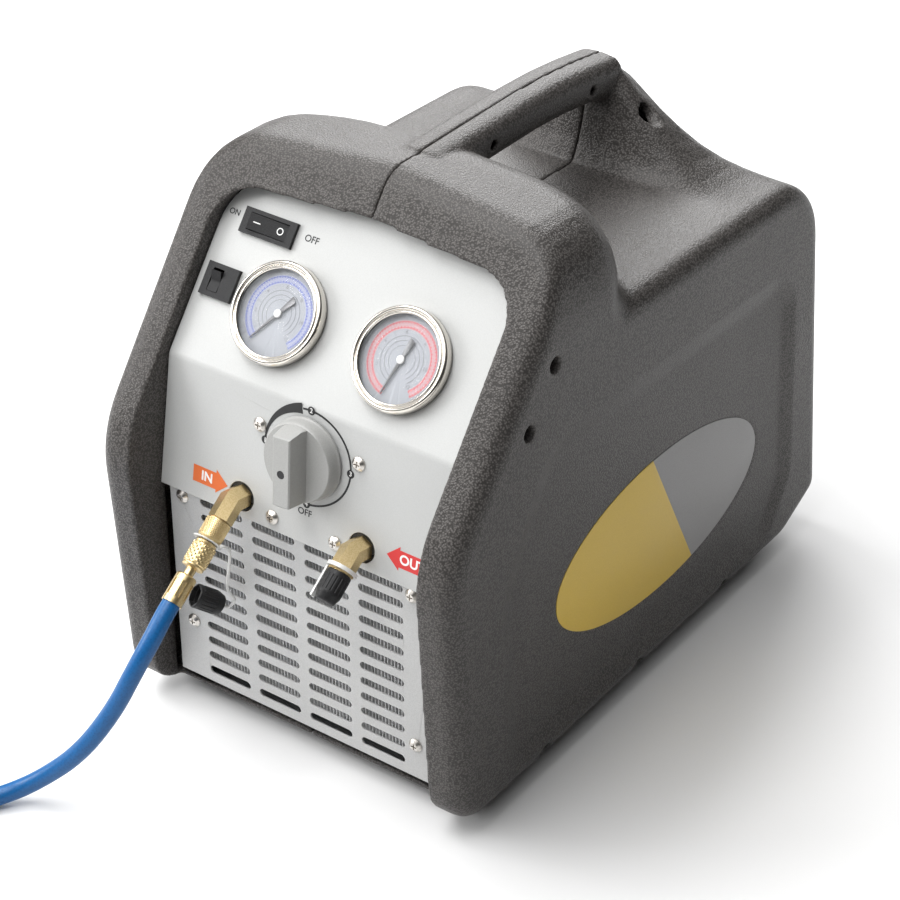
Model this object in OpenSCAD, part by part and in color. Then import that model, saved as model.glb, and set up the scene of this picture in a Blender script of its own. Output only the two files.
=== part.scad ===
// Portable refrigerant recovery machine in millimetres.
// The origin is on the floor under the middle of the machine, the front faces -Y and +Z is up.

/* [Case] */
// Width of the moulded case
case_w = 250; // [246:1:262]
// Wall thickness of the moulded case
wall = 3.5; // [3:0.1:4]
// Radius of the soft edge round both sides of the case
edge_r = 11; // [8:0.5:11.5]
// Height of the hood above the bottom of the case
hood_h = 339.5; // [336:0.5:346]
// Radius of the hood's two upper corners seen from the front
hood_r = 38; // [32:1:42]
// Height of the shoulders behind the hood, above the bottom of the case
shoulder_h = 273; // [269:0.5:276]
// Fall of the shoulders towards the rear
shoulder_fall = 9; // [6:0.5:11]
// Distance from the middle of the machine to the rear edge of the case
rear_reach = 214.5; // [208:0.5:220]
// Lean of the rear wall from the vertical
rear_lean = 6.9; // [6:0.1:7.8]
// How far the knee of the front frame stands in front of the grille
knee_reach = 28.6; // [26:0.2:31]
// Height of the knee above the bottom of the case
knee_h = 184; // [180:0.5:188]
// Lean of the front frame above the knee, from the vertical
frame_lean = 37.2; // [36.4:0.1:38]
// Depth of the soft recess in each side of the case
pocket_d = 3; // [2:0.2:3.6]
// Length of the oval recess in each side
oval_l = 222; // [200:1:230]
// Height of the oval recess in each side
oval_h = 100; // [90:1:106]

/* [Handle] */
// Width of the handle bar
handle_w = 33; // [28:1:38]
// Thickness of the handle bar
handle_t = 23; // [20:0.5:26]

/* [Front panels] */
// Distance from the middle of the machine to the grille
grille_reach = 170; // [168:0.5:172]
// Half width of the front opening
opening_half = 101; // [99:0.5:103]
// Thickness of the sheet metal
sheet = 1.2; // [1:0.1:1.5]
// Height of the upper panel's lower edge above the bottom of the case
seam_h = 144.4; // [143:0.2:147]
// Slanted height of the part of the upper panel round the knob
knob_face = 82.3; // [80:0.2:84]
// Lean of the part of the upper panel round the knob, from the vertical
knob_lean = 10; // [9:0.2:11]
// Lean of the part of the upper panel round the gauges, from the vertical
dial_lean = 38.2; // [37.4:0.1:39]
// Pitch of the grille slots across
slot_px = 38; // [36:0.5:40]
// Pitch of the grille slots downwards
slot_pz = 11; // [10:0.1:11.2]
// Length of a grille slot
slot_l = 31; // [28:0.5:33]
// Height of a grille slot
slot_h = 5.4; // [4:0.2:6]

/* [Controls] */
// Outside diameter of a gauge's bezel
bezel_d = 60; // [58:0.5:62]
// Diameter of the selector knob's skirt
knob_d = 49; // [44:0.5:52]
// Height of the selector knob's skirt
knob_skirt = 10; // [8:0.5:12]
// Height of the whole selector knob
knob_t = 23.5; // [21:0.5:27]
// Diameter of the selector spindle
spindle_d = 8; // [6:0.5:9]
// Tilt of the power rocker from level
rocker_tilt = 11; // [8:0.5:12]

/* [Fittings and hose] */
// Width across flats of the brass elbows
elbow_af = 13; // [12:0.5:14]
// Diameter of the flare thread on the elbows
flare_d = 11; // [10:0.2:11.4]
// Length of the flare thread on the elbows
flare_l = 11.5; // [10:0.5:12]
// Outside diameter of the cap on the outlet
cap_d = 14.4; // [13.6:0.2:16]
// Outside diameter of the hose
hose_d = 11; // [10:0.5:11.6]

/* [Inside] */
// Height of the rubber feet
foot_h = 10; // [8:0.5:12]
// Thickness of the base plate
base_t = 2; // [1.5:0.1:3]
// Diameter of the cooling fan
fan_d = 122; // [112:1:126]
// Diameter of the motor shaft
shaft_d = 12; // [10:0.5:13]
// Diameter of the motor
motor_d = 100; // [90:1:104]
// Spacing of the condenser fins
fin_pitch = 2.4; // [2.2:0.1:4]
// Diameter of the condenser tubes
tube_d = 9.5; // [8:0.5:10]
// Radial clearance of a running fit
running = 0.05; // [0.03:0.01:0.08]
// Gap between pieces that move past each other
gap = 0.4; // [0.3:0.05:0.5]

/* [Hidden] */
$fn = 64;
GAUGES = ["gauge_case", "gauge_bezel", "gauge_dial", "gauge_lens", "gauge_needle"];

// Colours
case_grey = [0.36, 0.35, 0.34];
sheet_silver = [0.8, 0.8, 0.79];
nickel = [0.74, 0.73, 0.7];
black = [0.08, 0.08, 0.085];
brass = [0.72, 0.58, 0.3];
knob_grey = [0.7, 0.7, 0.69];
steel = [0.55, 0.56, 0.57];
copper = [0.72, 0.43, 0.27];
hose_blue = [0.05, 0.35, 0.68];

// Case outline seen from the side
half = case_w/2;
floor_z = foot_h;
hood_z = floor_z + hood_h;
shoulder_z = floor_z + shoulder_h;
knee_y = -grille_reach - knee_reach;
knee_z = floor_z + knee_h;
front_lean = 4.1;
foot_y = knee_y + knee_h*tan(front_lean);
rear_heel = 20;
heel_run = 42;
hood_gable = 6;
hood_fall = 2.5;
hood_flat = half - hood_r;
hood_back = -7;
hood_sweep = 31;
sweep_from = half*0.4;
knee_r = 70;
toe_r = 24;
brow_r = 22;
rear_r = 50;
hump_h = hood_h - shoulder_h - 4;
hump_half = 42;
hump_skirt = [40, 110];
hump_front = rear_reach - 115.5;
hump_top = rear_reach - 92.5;
hump_end = rear_reach - 88.5;
hump_rear = rear_reach - 30.5;
oval_d = 1;
side_wall = wall + pocket_d + oval_d;

// Front opening and panels
grille_y = -grille_reach;
lip = 3;
brow_h = 316;
brow_fall = 6;
brow_corner = 24;
panel_y = grille_y - sheet - 0.2;
panel_z = floor_z + seam_h;
bend_y = panel_y + knob_face*sin(knob_lean);
bend_z = panel_z + knob_face*cos(knob_lean);
dial_face = 119;
top_y = bend_y + dial_face*sin(dial_lean);
top_z = bend_z + dial_face*cos(dial_lean);
panel_gap = 0.6;
grille_half = 95;
grille_bottom = floor_z + 11;
slot_rows = 12;
slot_cols = 4;
slot_top = floor_z + 141;

// Places on the front panels: across, and up from the lower edge of that face
power_at = [-66.4, 85];
breaker_at = [-84, 47];
gauge_at = [[-38.5, 42], [46, 42.5]];
knob_at = [2, 52.5];
port_at = [[-41.5, 12.5], [44, 12.5]];
upper_screws = [[-32, 61], [37, 61.5], [-18.5, 8], [26, 8.5]];
grille_screws = [[-85.5, 139.8], [-82.5, 51.7], [79, 139.8], [80.5, 35]];
screw_r = 2;
screw_head_r = 3.8;
pan_head_r = 4.3;
screw_head_h = 2.4;

// Fittings
elbow_bend = 45;
elbow_out = 9;
elbow_leg = 12.5;
stub_r = 6;
port_hole_r = 9;
cap_l = 18;
adapter_l = 13;
coupler_l = 17;
neck_r = 3;
neck_l = 5;
ferrule_l = 18;
flare_end = elbow_leg + flare_l;
adapter_end = elbow_leg + gap + adapter_l;
coupler_start = adapter_end + 1;
coupler_end = coupler_start + coupler_l;
ferrule_start = coupler_end + neck_l;
hose_start = ferrule_start + ferrule_l;
leg_lean = elbow_bend - knob_lean;

// Route of the free hose, from the ferrule down to the floor and into the coil
hose_exit = port_point(port_at[0], elbow_out) + hose_start*[0, -cos(leg_lean), -sin(leg_lean)];
hose_route = concat([hose_exit], [
    [-41.5, -241, 124], [-42, -249, 116], [-44.5, -257, 105], [-48.5, -263.5, 92],
    [-54, -269, 77], [-61, -275, 62], [-69, -281, 48], [-78, -286.5, 36], [-88, -291, 25.5],
    [-98, -296, 16.5], [-107, -302, 10], [-115, -311, 6.6], [-121.5, -322, 5.5],
    [-125, -334, 5.5], [-126, -346, 5.5]]);
coil_at = [-206, -346];
coil_r = 80;
coil_turns = 2.85;
coil_in = coil_r - hose_d*coil_turns;
// Radius and angle where the far end lies on top of the coil
end_r = coil_in + hose_d;
end_turn = 54;
end_arc = 40;

// Inside
base_z = floor_z + wall + 0.1;
deck_z = base_z + base_t;
core_half = 84;
core_y = grille_y + 8;
core_t = 26;
core_bottom = floor_z + 16;
core_top = floor_z + 138;
tube_pitch = 22;
tube_rows = 5;
plate_t = 1.5;
fin_t = 0.6;
shroud_y = core_y + core_t + 4;
axis_z = floor_z + 82;
fan_y = shroud_y + plate_t + 5;
fan_t = 16;
motor_y = fan_y + fan_t + 12;
motor_l = 120;
crank_y = motor_y + motor_l;
crank_l = 64;
bore_y = crank_y + crank_l/2;
crank_top = axis_z + 42;
cylinder_h = 52;

// Vectors and outlines

function unit(v) = v/norm(v);

function smooth(t) = let (c = max(0, min(1, t))) c*c*(3 - 2*c);

// Points of the arc that rounds corner q between p and s
function round_corner(p, q, s, r, n) =
    r == 0 ? [q] :
    let (u = unit(p - q), v = unit(s - q), h = acos(u*v)/2)
    let (c = q + unit(u + v)*r/sin(h), a = q + u*r/tan(h) - c, b = q + v*r/tan(h) - c)
    let (from = atan2(a.y, a.x), d = atan2(b.y, b.x) - from)
    let (turn = d > 180 ? d - 360 : d < -180 ? d + 360 : d)
    [for (i = [0:n]) c + r*[cos(from + turn*i/n), sin(from + turn*i/n)]];

// Closed outline through corners given as [across, up, radius, steps]
function outline(corners) =
    let (m = len(corners), at = [for (c = corners) [c[0], c[1]]])
    [for (i = [0:m - 1])
        each round_corner(at[(i + m - 1) % m], at[i], at[(i + 1) % m], corners[i][2], corners[i][3])];

// Clockwise outline moved inwards by d
function inset(ring, d) =
    let (m = len(ring))
    [for (i = [0:m - 1])
        let (a = unit(ring[i] - ring[(i + m - 1) % m]), b = unit(ring[(i + 1) % m] - ring[i]))
        let (na = [a.y, -a.x], n = unit(na + [b.y, -b.x]))
        ring[i] + n*d/max(0.5, n*na)];

// Triangles of a tube through rings of m points each, closed at both ends
function loft_faces(rings, m) = concat(
    [[for (j = [m - 1:-1:0]) j]],
    [for (i = [0:rings - 2]) for (j = [0:m - 1])
        let (k = (j + 1) % m)
        each [[i*m + j, i*m + k, (i + 1)*m + k], [i*m + j, (i + 1)*m + k, (i + 1)*m + j]]],
    [[for (j = [0:m - 1]) (rings - 1)*m + j]]);

// Points of a round tube of radius r along a path
function tube_points(path, r, sides) =
    let (last = len(path) - 1)
    [for (i = [0:last])
        let (t = unit(path[min(last, i + 1)] - path[max(0, i - 1)]))
        let (u = unit(cross(t, abs(t.x) > 0.9 ? [0, 1, 0] : [1, 0, 0])), v = cross(t, u))
        for (j = [0:sides - 1]) path[i] + r*(cos(360*j/sides)*u - sin(360*j/sides)*v)];

// Smooth points through a short list of points
function spline(p, n) =
    let (last = len(p) - 1)
    concat([for (i = [0:last - 1]) for (k = [0:n - 1])
        let (a = p[max(0, i - 1)], b = p[i], c = p[i + 1], d = p[min(last, i + 2)], t = k/n)
        0.5*(2*b + (c - a)*t + (2*a - 5*b + 4*c - d)*t^2 + (3*b - a - 3*c + d)*t^3)], [p[last]]);

module tube_along(path, r, sides = 10) {
    polyhedron(tube_points(path, r, sides), loft_faces(len(path), sides), convexity = 6);
}

// Flat shape in Y and Z, spread along X
module spread_x(from, to) {
    translate([from, 0, 0]) rotate([90, 0, 90]) linear_extrude(to - from) children();
}

// Flat shape in X and Z, spread along Y
module spread_y(from, to) {
    translate([0, to, 0]) rotate([90, 0, 0]) linear_extrude(to - from) children();
}

// Round bar along Y
module bar_y(r, from, to) {
    translate([0, from, 0]) rotate([-90, 0, 0]) cylinder(r = r, h = to - from);
}

// Round bar along X
module bar_x(r, from, to) {
    translate([from, 0, 0]) rotate([0, 90, 0]) cylinder(r = r, h = to - from);
}

module block(from, to) {
    translate(from) cube(to - from);
}

// Case

function hood_drop(x) =
    x <= hood_flat ? hood_gable*x/hood_flat
    : hood_gable + hood_r - sqrt(max(0, hood_r^2 - (x - hood_flat)^2));

function frame_y(z) = knee_y + (z - knee_z)*tan(frame_lean);

function rear_y(z) = rear_reach - (z - floor_z - rear_heel)*tan(rear_lean);

shoulder_end = rear_y(shoulder_z - shoulder_fall);

function shoulder_at(y) = shoulder_z - shoulder_fall*max(0, (y - hood_back)/(shoulder_end - hood_back));

function hump_lift(x, y) =
    hump_h*(1 - smooth((x - hump_skirt[0])/(hump_skirt[1] - hump_skirt[0])))/(1 + (x/hump_half)^2)
    *smooth((y - hump_front)/(hump_top - hump_front))*smooth((hump_rear - y)/(hump_rear - hump_end));

shoulder_steps = concat([60], [for (d = [0, 7, 13, 18]) hump_front + d], [hump_top, hump_top + 5]);

// Corners of the side outline at distance x from the middle
function side_corners(x) =
    let (brow_z = hood_z - hood_drop(x), back_z = brow_z - hood_fall, rise = back_z - shoulder_z)
    let (back_y = hood_back - hood_sweep*pow(max(0, (x - sweep_from)/(half - sweep_from)), 2))
    let (back_r = max(edge_r + 1.5, min(40, 0.62*rise)), scoop_r = min(20, 0.9*(rise - back_r)))
    concat(
        [[foot_y, floor_z, toe_r, 5], [knee_y, knee_z, knee_r, 7], [frame_y(brow_z), brow_z, brow_r, 6]],
        [[back_y, back_z, back_r, 7], [back_y, shoulder_z, scoop_r, 6]],
        [for (y = shoulder_steps) [y, shoulder_at(y), 0, 0]],
        [[shoulder_end, shoulder_at(shoulder_end), rear_r, 9]],
        [[rear_y(floor_z + rear_heel), floor_z + rear_heel, 12, 3]],
        [[rear_y(floor_z + rear_heel) - heel_run, floor_z, 30, 4]]);

function side_ring(x) =
    [for (p = outline(side_corners(x)))
        p.y > floor_z + shoulder_h/2 ? p + [0, hump_lift(x, p.x)] : p];

function edge_inset(x) =
    let (in = x - half + edge_r)
    in <= 0 ? 0 : edge_r - sqrt(max(0, edge_r^2 - in^2));

function at_x(x, ring) = [for (p = ring) [x, p.x, p.y]];

outer_x = concat([0, 13, 26, 34, 44, 56, 70, 82, 92, 100, 108],
    [for (a = [0, 22.5, 45, 67.5, 90]) half - edge_r*(1 - sin(a))]);
inner_half = half - side_wall;
inner_x = [0, 26, 36, 50, 66, 82, 96, inner_half - 9, inner_half];

// Half of the case as a solid, for x from 0 to the side
module case_outer() {
    rings = [for (x = outer_x) at_x(x, inset(side_ring(x), edge_inset(x)))];
    polyhedron([for (r = rings) each r], loft_faces(len(rings), len(rings[0])), convexity = 8);
}

// Hollow of half the case
module case_inner() {
    rings = [for (x = inner_x)
        let (step = x == inner_half ? 5 : 0)
        at_x(x, inset(side_ring(min(half, x + side_wall)), wall + step))];
    polyhedron([for (r = rings) each r], loft_faces(len(rings), len(rings[0])), convexity = 8);
}

// Stations of the handle bar: place along Y, fall of its top and added thickness
handle_run = concat([[-52, 0, 0], [-20, 0, 0], [40, -0.6, 0]], [[hump_front - 27, -2.2, 0.6],
    [hump_front - 1, -5, 1.6], [hump_front + 17, -7.6, 3], [hump_front + 29, -9.5, 5]]);

module handle_slice(s, d) {
    translate([0, s[0], hood_z + s[1] - d])
        rotate([90, 0, 0]) linear_extrude(0.1) polygon(handle_section(d, handle_t + s[2]));
}

// Half of the handle bar, with its skin moved in by d
module handle_half(d) {
    for (i = [1:len(handle_run) - 1])
        hull() {
            handle_slice(handle_run[i - 1], d);
            handle_slice(handle_run[i], d);
        }
}

// Half section of the handle bar: flat on the seam, round outside
function handle_section(d, t) =
    outline([[0, 2*d - t, 0, 0], [0, 0, 0, 0],
        [handle_w/2 - d, -1, 9 - d, 4], [handle_w/2 - d, 2*d - t, 8 - d, 4]]);

// Outline of the front opening seen from the front
function opening_ring(grow) =
    let (w = opening_half + grow, top = floor_z + brow_h + grow)
    outline([[-w, -10, 0, 0], [-w, top - brow_fall, brow_corner + grow, 8], [0, top, 0, 0],
        [w, top - brow_fall, brow_corner + grow, 8], [w, -10, 0, 0]]);

// Space in front of the panels, inside the front frame
module front_zone(grow, deep) {
    far = knee_y - 30;
    intersection() {
        spread_y(far, 0) polygon(opening_ring(grow));
        spread_x(-half, half) polygon([[far, -10], [grille_y + deep, -10], [grille_y + deep, panel_z],
            [bend_y + deep, bend_z], [top_y + deep, top_z], [top_y + deep, hood_z], [far, hood_z]]);
    }
}

// Soft recess in the side, moved in by d
function pocket_ring(d) =
    let (z = floor_z)
    inset(outline([[-140, z + 13, 20, 4], [-152, z + 140, 60, 6], [-106, z + 222, 34, 5],
        [144, z + 211, 26, 5], [163, z + 188, 26, 4], [173, z + 50, 26, 4], [150, z + 13, 20, 4]]), d);

module side_pocket() {
    hull() {
        spread_x(half, half + 1) polygon(pocket_ring(0));
        spread_x(half - pocket_d, half) polygon(pocket_ring(13));
    }
    spread_x(half - pocket_d - oval_d, half) translate([19, floor_z + 99]) rotate(-2)
        polygon([for (a = [0:7.5:359]) [oval_l/2*cos(a), oval_h/2*sin(a)]]);
}

rear_vent_half = 88;
rear_vent_z = [floor_z + 36, floor_z + 200];

module rear_opening() {
    spread_y(rear_reach - 60, rear_reach + 20)
        polygon(outline([[-rear_vent_half, rear_vent_z[0], 10, 4], [-rear_vent_half, rear_vent_z[1], 10, 4],
            [rear_vent_half, rear_vent_z[1], 10, 4], [rear_vent_half, rear_vent_z[0], 10, 4]]));
}

// Screw recesses of the case: place in Y and Z, and their radius
frame_holes = [[-102.7, floor_z + 270.5], [-125.7, floor_z + 239.3]];
frame_hole_r = 4.6;
skirt_holes = [-101.5, -1.5, 97.5];
skirt_hole_z = floor_z + 6.5;
skirt_hole_r = 4.2;
handle_holes = [[-5, hood_z - 12.5], [hump_front - 3, hood_z - 19]];
handle_hole_r = 2.8;
hump_hole = [hump_end - 1, shoulder_z + 27];
hump_hole_r = 5.5;
boss_r = 7.5;
frame_hole_d = 16;

module frame_bosses() {
    for (p = frame_holes)
        translate([0, p.x, p.y]) bar_x(boss_r, opening_half + lip - 1, half - pocket_d);
}

module screw_recesses() {
    for (p = frame_holes)
        translate([0, p.x, p.y]) bar_x(frame_hole_r, half - frame_hole_d, half + 1);
    for (y = skirt_holes)
        translate([0, y, skirt_hole_z]) bar_x(skirt_hole_r, inner_half - 6, half + 1);
    for (p = handle_holes)
        translate([0, p.x, p.y]) bar_x(handle_hole_r, -1, half);
    translate([0, hump_hole.x, hump_hole.y]) bar_x(hump_hole_r, 12, half);
}

module case_half() {
    difference() {
        union() {
            case_outer();
            handle_half(0);
        }
        difference() {
            case_inner();
            front_zone(lip, sheet + 2);
            frame_bosses();
        }
        handle_half(wall);
        front_zone(0, sheet + 3);
        side_pocket();
        rear_opening();
    }
}

module case_right() {
    color(case_grey) difference() {
        case_half();
        screw_recesses();
    }
}

module case_left() {
    color(case_grey) mirror([1, 0, 0]) case_half();
}

// Pan head screw with a cross recess, its head standing up from z = 0
module screw(length) {
    difference() {
        union() {
            cylinder(r = pan_head_r, h = 0.8);
            translate([0, 0, 0.8])
                cylinder(r1 = pan_head_r, r2 = pan_head_r - 1.8, h = screw_head_h - 0.8);
            translate([0, 0, -length]) cylinder(r = screw_r, h = length);
        }
        for (a = [0, 90])
            rotate(a) translate([-2, -0.4, screw_head_h - 1.4]) cube([4, 0.8, 2]);
    }
}

module case_screws() {
    color(nickel) {
        for (p = frame_holes)
            translate([half - frame_hole_d, p.x, p.y]) rotate([0, 90, 0]) cylinder(r = screw_head_r, h = 3);
        for (y = skirt_holes)
            translate([inner_half - 6, y, skirt_hole_z]) rotate([0, 90, 0])
                cylinder(r = skirt_hole_r - 0.3, h = 3);
    }
}

// Base and feet

base_x = inner_half - 9;
base_y = [grille_y + 9, rear_reach - 70];
foot_at = [for (x = [27 - half, half - 27]) for (y = [base_y[0] + 19, base_y[1] - 4]) [x, y]];
foot_r = 13;
foot_bore = 3.2;

module base_plate() {
    color(steel) difference() {
        block([-base_x, base_y[0], base_z], [base_x, base_y[1], deck_z]);
        for (p = foot_at)
            translate([p.x, p.y, base_z - 1]) cylinder(r = foot_bore, h = base_t + 2);
    }
}

module rubber_feet() {
    color(black)
        for (p = foot_at)
            translate([p.x, p.y, 0])
                rotate_extrude() polygon([[foot_bore, foot_h/2], [6, foot_h/2], [6, 0], [foot_r - 2.5, 0],
                    [foot_r - 1.5, 1], [foot_r, foot_h], [foot_bore, foot_h]]);
}

module foot_screws() {
    color(nickel)
        for (p = foot_at)
            translate([p.x, p.y, foot_h/2 - 2.5]) {
                cylinder(r = 5, h = 2.5);
                cylinder(r = foot_bore - 0.4, h = 5);
            }
}

// Front panels

// Places its children on the sloped face with the gauges
module on_dials(p, h = 0) {
    translate([0, bend_y, bend_z]) rotate([90 - dial_lean, 0, 0]) translate([p.x, p.y, h]) children();
}

// Places its children on the steeper face with the knob
module on_knob_face(p, h = 0) {
    translate([0, panel_y, panel_z]) rotate([90 - knob_lean, 0, 0]) translate([p.x, p.y, h]) children();
}

// World place of a point at height h above the knob face
function port_point(p, h) =
    [p.x, panel_y + p.y*sin(knob_lean) - h*cos(knob_lean), panel_z + p.y*cos(knob_lean) + h*sin(knob_lean)];

bend_r = 9;

// Bent sheet in Y and Z
module upper_sheet() {
    front = [[panel_y, panel_z], [bend_y, bend_z], [top_y, top_z]];
    back = [for (p = front) p + [sheet/cos(knob_lean), 0]];
    polygon(concat([front[0]], round_corner(front[0], front[1], front[2], bend_r, 6), [front[2]],
        [back[2]], round_corner(back[2], back[1], back[0], bend_r - sheet, 6), [back[0]]));
}

switch_hole = [29.4, 11.4];
breaker_hole = [18.4, 15.4];
can_r = bezel_d/2 - 2.4;

module upper_panel() {
    color(sheet_silver) difference() {
        intersection() {
            spread_x(-opening_half, opening_half) upper_sheet();
            spread_y(knee_y, 0) polygon(opening_ring(-panel_gap));
        }
        on_dials(power_at) cube(concat(switch_hole, 12), center = true);
        on_dials(breaker_at) cube(concat(breaker_hole, 12), center = true);
        for (p = gauge_at)
            on_dials(p, -6) cylinder(r = can_r + 0.2, h = 12);
        on_knob_face(knob_at, -6) cylinder(d = spindle_d + 3, h = 12);
        for (p = port_at)
            on_knob_face(p, -6) cylinder(r = port_hole_r, h = 12);
        for (p = upper_screws)
            on_knob_face(p, -6) cylinder(r = screw_r + 0.1, h = 12);
    }
}

module slot(length, height) {
    square([length - height, height], center = true);
    for (side = [-1, 1])
        translate([side*(length - height)/2, 0]) circle(d = height);
}

module grille_panel() {
    color(sheet_silver) spread_y(grille_y, grille_y + sheet) difference() {
        translate([-grille_half, grille_bottom]) square([2*grille_half, panel_z + 0.6 - grille_bottom]);
        for (i = [0:slot_cols - 1]) for (j = [0:slot_rows - 1])
            translate([(i - (slot_cols - 1)/2)*slot_px, slot_top - j*slot_pz]) slot(slot_l, slot_h);
        for (p = grille_screws)
            translate([p.x, floor_z + p.y]) circle(r = screw_r + 0.1);
    }
}

module panel_screws() {
    color(nickel) {
        for (p = upper_screws)
            on_knob_face(p, 0.02) screw(4);
        for (p = grille_screws)
            translate([p.x, grille_y - 0.02, floor_z + p.y]) rotate([90, 0, 0]) screw(4);
    }
}

// Rear panel

rear_inset = wall + 0.15;
rear_half = rear_vent_half + 8;
rear_len = rear_vent_z[1] - rear_vent_z[0] + 16;
rear_slots = 7;
inlet_at = [52, 24];
inlet_hole = [27.4, 19.4];

// Places its children on the rear panel: x to the right seen from behind, y up, z outwards
module on_rear(p, h = 0) {
    z = rear_vent_z[0] - 8;
    translate([0, rear_y(z) - rear_inset/cos(rear_lean), z])
        rotate([0, 0, 180]) rotate([90 - rear_lean, 0, 0])
        translate([p.x, p.y, h]) children();
}

rear_screws = [for (x = [-1, 1]) for (y = [16, rear_len - 16]) [x*(rear_vent_half - 10), y]];

module rear_panel() {
    color(sheet_silver) on_rear([0, 0], -sheet) linear_extrude(sheet) difference() {
        translate([-rear_half, 0]) square([2*rear_half, rear_len]);
        for (i = [-1:1]) for (j = [0:rear_slots - 1])
            translate([i*44, rear_len - 34 - j*13]) slot(36, 6);
        translate(inlet_at) square(inlet_hole, center = true);
        for (p = rear_screws)
            translate(p) circle(r = screw_r + 0.1);
    }
}

module rear_panel_screws() {
    color(nickel)
        for (p = rear_screws)
            on_rear(p, 0.02) screw(4);
}

// Three-pin mains inlet: a flanged socket and its blades
module power_inlet() {
    color(black) on_rear(inlet_at) difference() {
        union() {
            translate([0, 0, 1]) cube([32, 24, 2 - 0.04], center = true);
            translate([0, 0, -12]) cube([27, 19, 24], center = true);
        }
        translate([0, 0, -6]) cube([22.5, 14.5, 16.1], center = true);
    }
    color(nickel) on_rear(inlet_at)
        for (p = [[-7, -1.5], [0, 2.5], [7, -1.5]])
            translate([p.x, p.y, -7]) cube([2, 5, 14], center = true);
}

// Switches

switch_l = 36.5;
switch_w = 15;
switch_lip = 2.4;
switch_well = [27.2, 10.2];
pivot_h = 0.4;
pivot_r = 1.1;

module power_switch_housing() {
    color(black) on_dials(power_at) difference() {
        union() {
            translate([0, 0, switch_lip/2 + 0.02]) cube([switch_l, switch_w, switch_lip], center = true);
            translate([0, 0, -8]) cube([switch_hole.x - 0.4, switch_hole.y - 0.4, 16.04], center = true);
        }
        translate([0, 0, -2]) cube(concat(switch_well, 11), center = true);
        translate([0, 0, pivot_h]) rotate([90, 0, 0])
            cylinder(r = pivot_r + running, h = switch_well.y + 3, center = true);
    }
}

module power_rocker() {
    long = switch_well.x/2 - 0.9;
    color(black) on_dials(power_at, pivot_h) rotate([0, rocker_tilt, 0]) rotate([90, 0, 0]) {
        linear_extrude(switch_well.y - 2*gap, center = true)
            polygon([[-long, 2.7], [0, 1.5], [long, 2.7], [long - 0.6, -1.4],
                [4, -3.6], [-4, -3.6], [-long + 0.6, -1.4]]);
        cylinder(r = pivot_r, h = switch_well.y + 0.9, center = true);
    }
}

breaker_w = 22;
breaker_h = 19.5;
breaker_lip = 2.6;
breaker_well = [7.6, 13.6];
breaker_rocker_x = -2.6;

module breaker_housing() {
    color(black) on_dials(breaker_at) difference() {
        union() {
            translate([0, 0, breaker_lip/2 + 0.02]) cube([breaker_w, breaker_h, breaker_lip], center = true);
            translate([0, 0, -9]) cube([breaker_hole.x - 0.4, breaker_hole.y - 0.4, 18.04], center = true);
        }
        translate([breaker_rocker_x, 0, -2]) cube(concat(breaker_well, 12), center = true);
        translate([breaker_rocker_x, 0, pivot_h]) rotate([0, 90, 0])
            cylinder(r = pivot_r + running, h = breaker_well.x + 3, center = true);
    }
}

module breaker_rocker() {
    long = breaker_well.y/2 - 0.8;
    at = breaker_at + [breaker_rocker_x, 0];
    color(black) on_dials(at, pivot_h) rotate([rocker_tilt, 0, 0]) rotate([90, 0, 90]) {
        linear_extrude(breaker_well.x - 2*gap, center = true)
            polygon([[-long, 3.6], [-1, 1.9], [1, 1.9], [long, 3.6],
                [long - 0.6, -1.2], [3, -3.4], [-3, -3.4], [0.6 - long, -1.2]]);
        cylinder(r = pivot_r, h = breaker_well.x + 2, center = true);
    }
}

// Gauges, each standing on the origin with its dial facing up

can_wall = 1.2;
can_back = -24;
rim_h = 5.4;
post_r = 5;
dial_z = 2;
arbor_r = 1;
lens_t = 1;
flange_t = 0.8;
needle_rest = [236, 257];

module gauge_case() {
    color(black) difference() {
        union() {
            translate([0, 0, can_back]) cylinder(r = can_r, h = rim_h - can_back);
            translate([0, 0, 0.02]) cylinder(r = bezel_d/2 - 0.6, h = flange_t);
        }
        difference() {
            translate([0, 0, can_back + 2]) cylinder(r = can_r - can_wall, h = 40);
            translate([0, 0, can_back]) cylinder(r = post_r, h = dial_z - can_back);
        }
        translate([0, 0, dial_z - 9]) cylinder(r = arbor_r + running, h = 10);
    }
}

module gauge_bezel() {
    r = bezel_d/2;
    z = flange_t + 0.04;
    color(nickel) rotate_extrude($fn = 96)
        polygon(concat([[can_r + 0.2, z], [r - 0.4, z]],
            [for (a = [0:22.5:90]) [r - 2.2 + 2.2*cos(a), 5.6 + 2*sin(a)]],
            [for (a = [0:30:90]) [r - 4.4 - 0.8*sin(a), 6.8 + 0.8*cos(a)]],
            [[can_r - 1.4, rim_h + lens_t + 0.04], [can_r + 0.2, rim_h + lens_t + 0.04]]));
}

module gauge_dial() {
    color([0.86, 0.88, 0.93]) translate([0, 0, dial_z]) difference() {
        cylinder(r = can_r - can_wall - 0.2, h = 0.6);
        translate([0, 0, -1]) cylinder(r = arbor_r + 0.6, h = 3);
    }
}

module gauge_lens() {
    color([0.9, 0.95, 1, 0.3]) translate([0, 0, rim_h]) cylinder(r = can_r - 0.1, h = lens_t);
}

module gauge_needle(rest) {
    reach = can_r - can_wall - 5;
    color(steel) {
        translate([0, 0, dial_z - 8]) cylinder(r = arbor_r, h = 8 + 2.4);
        translate([0, 0, dial_z + 1]) cylinder(r = 2.2, h = 1.6);
        rotate(rest) translate([0, 0, dial_z + 1.4]) linear_extrude(0.6)
            polygon([[-13, -1.9], [-12, 1.9], [-2, 1], [reach, 0.25], [reach, -0.25], [-2, -1]]);
    }
}

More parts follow.
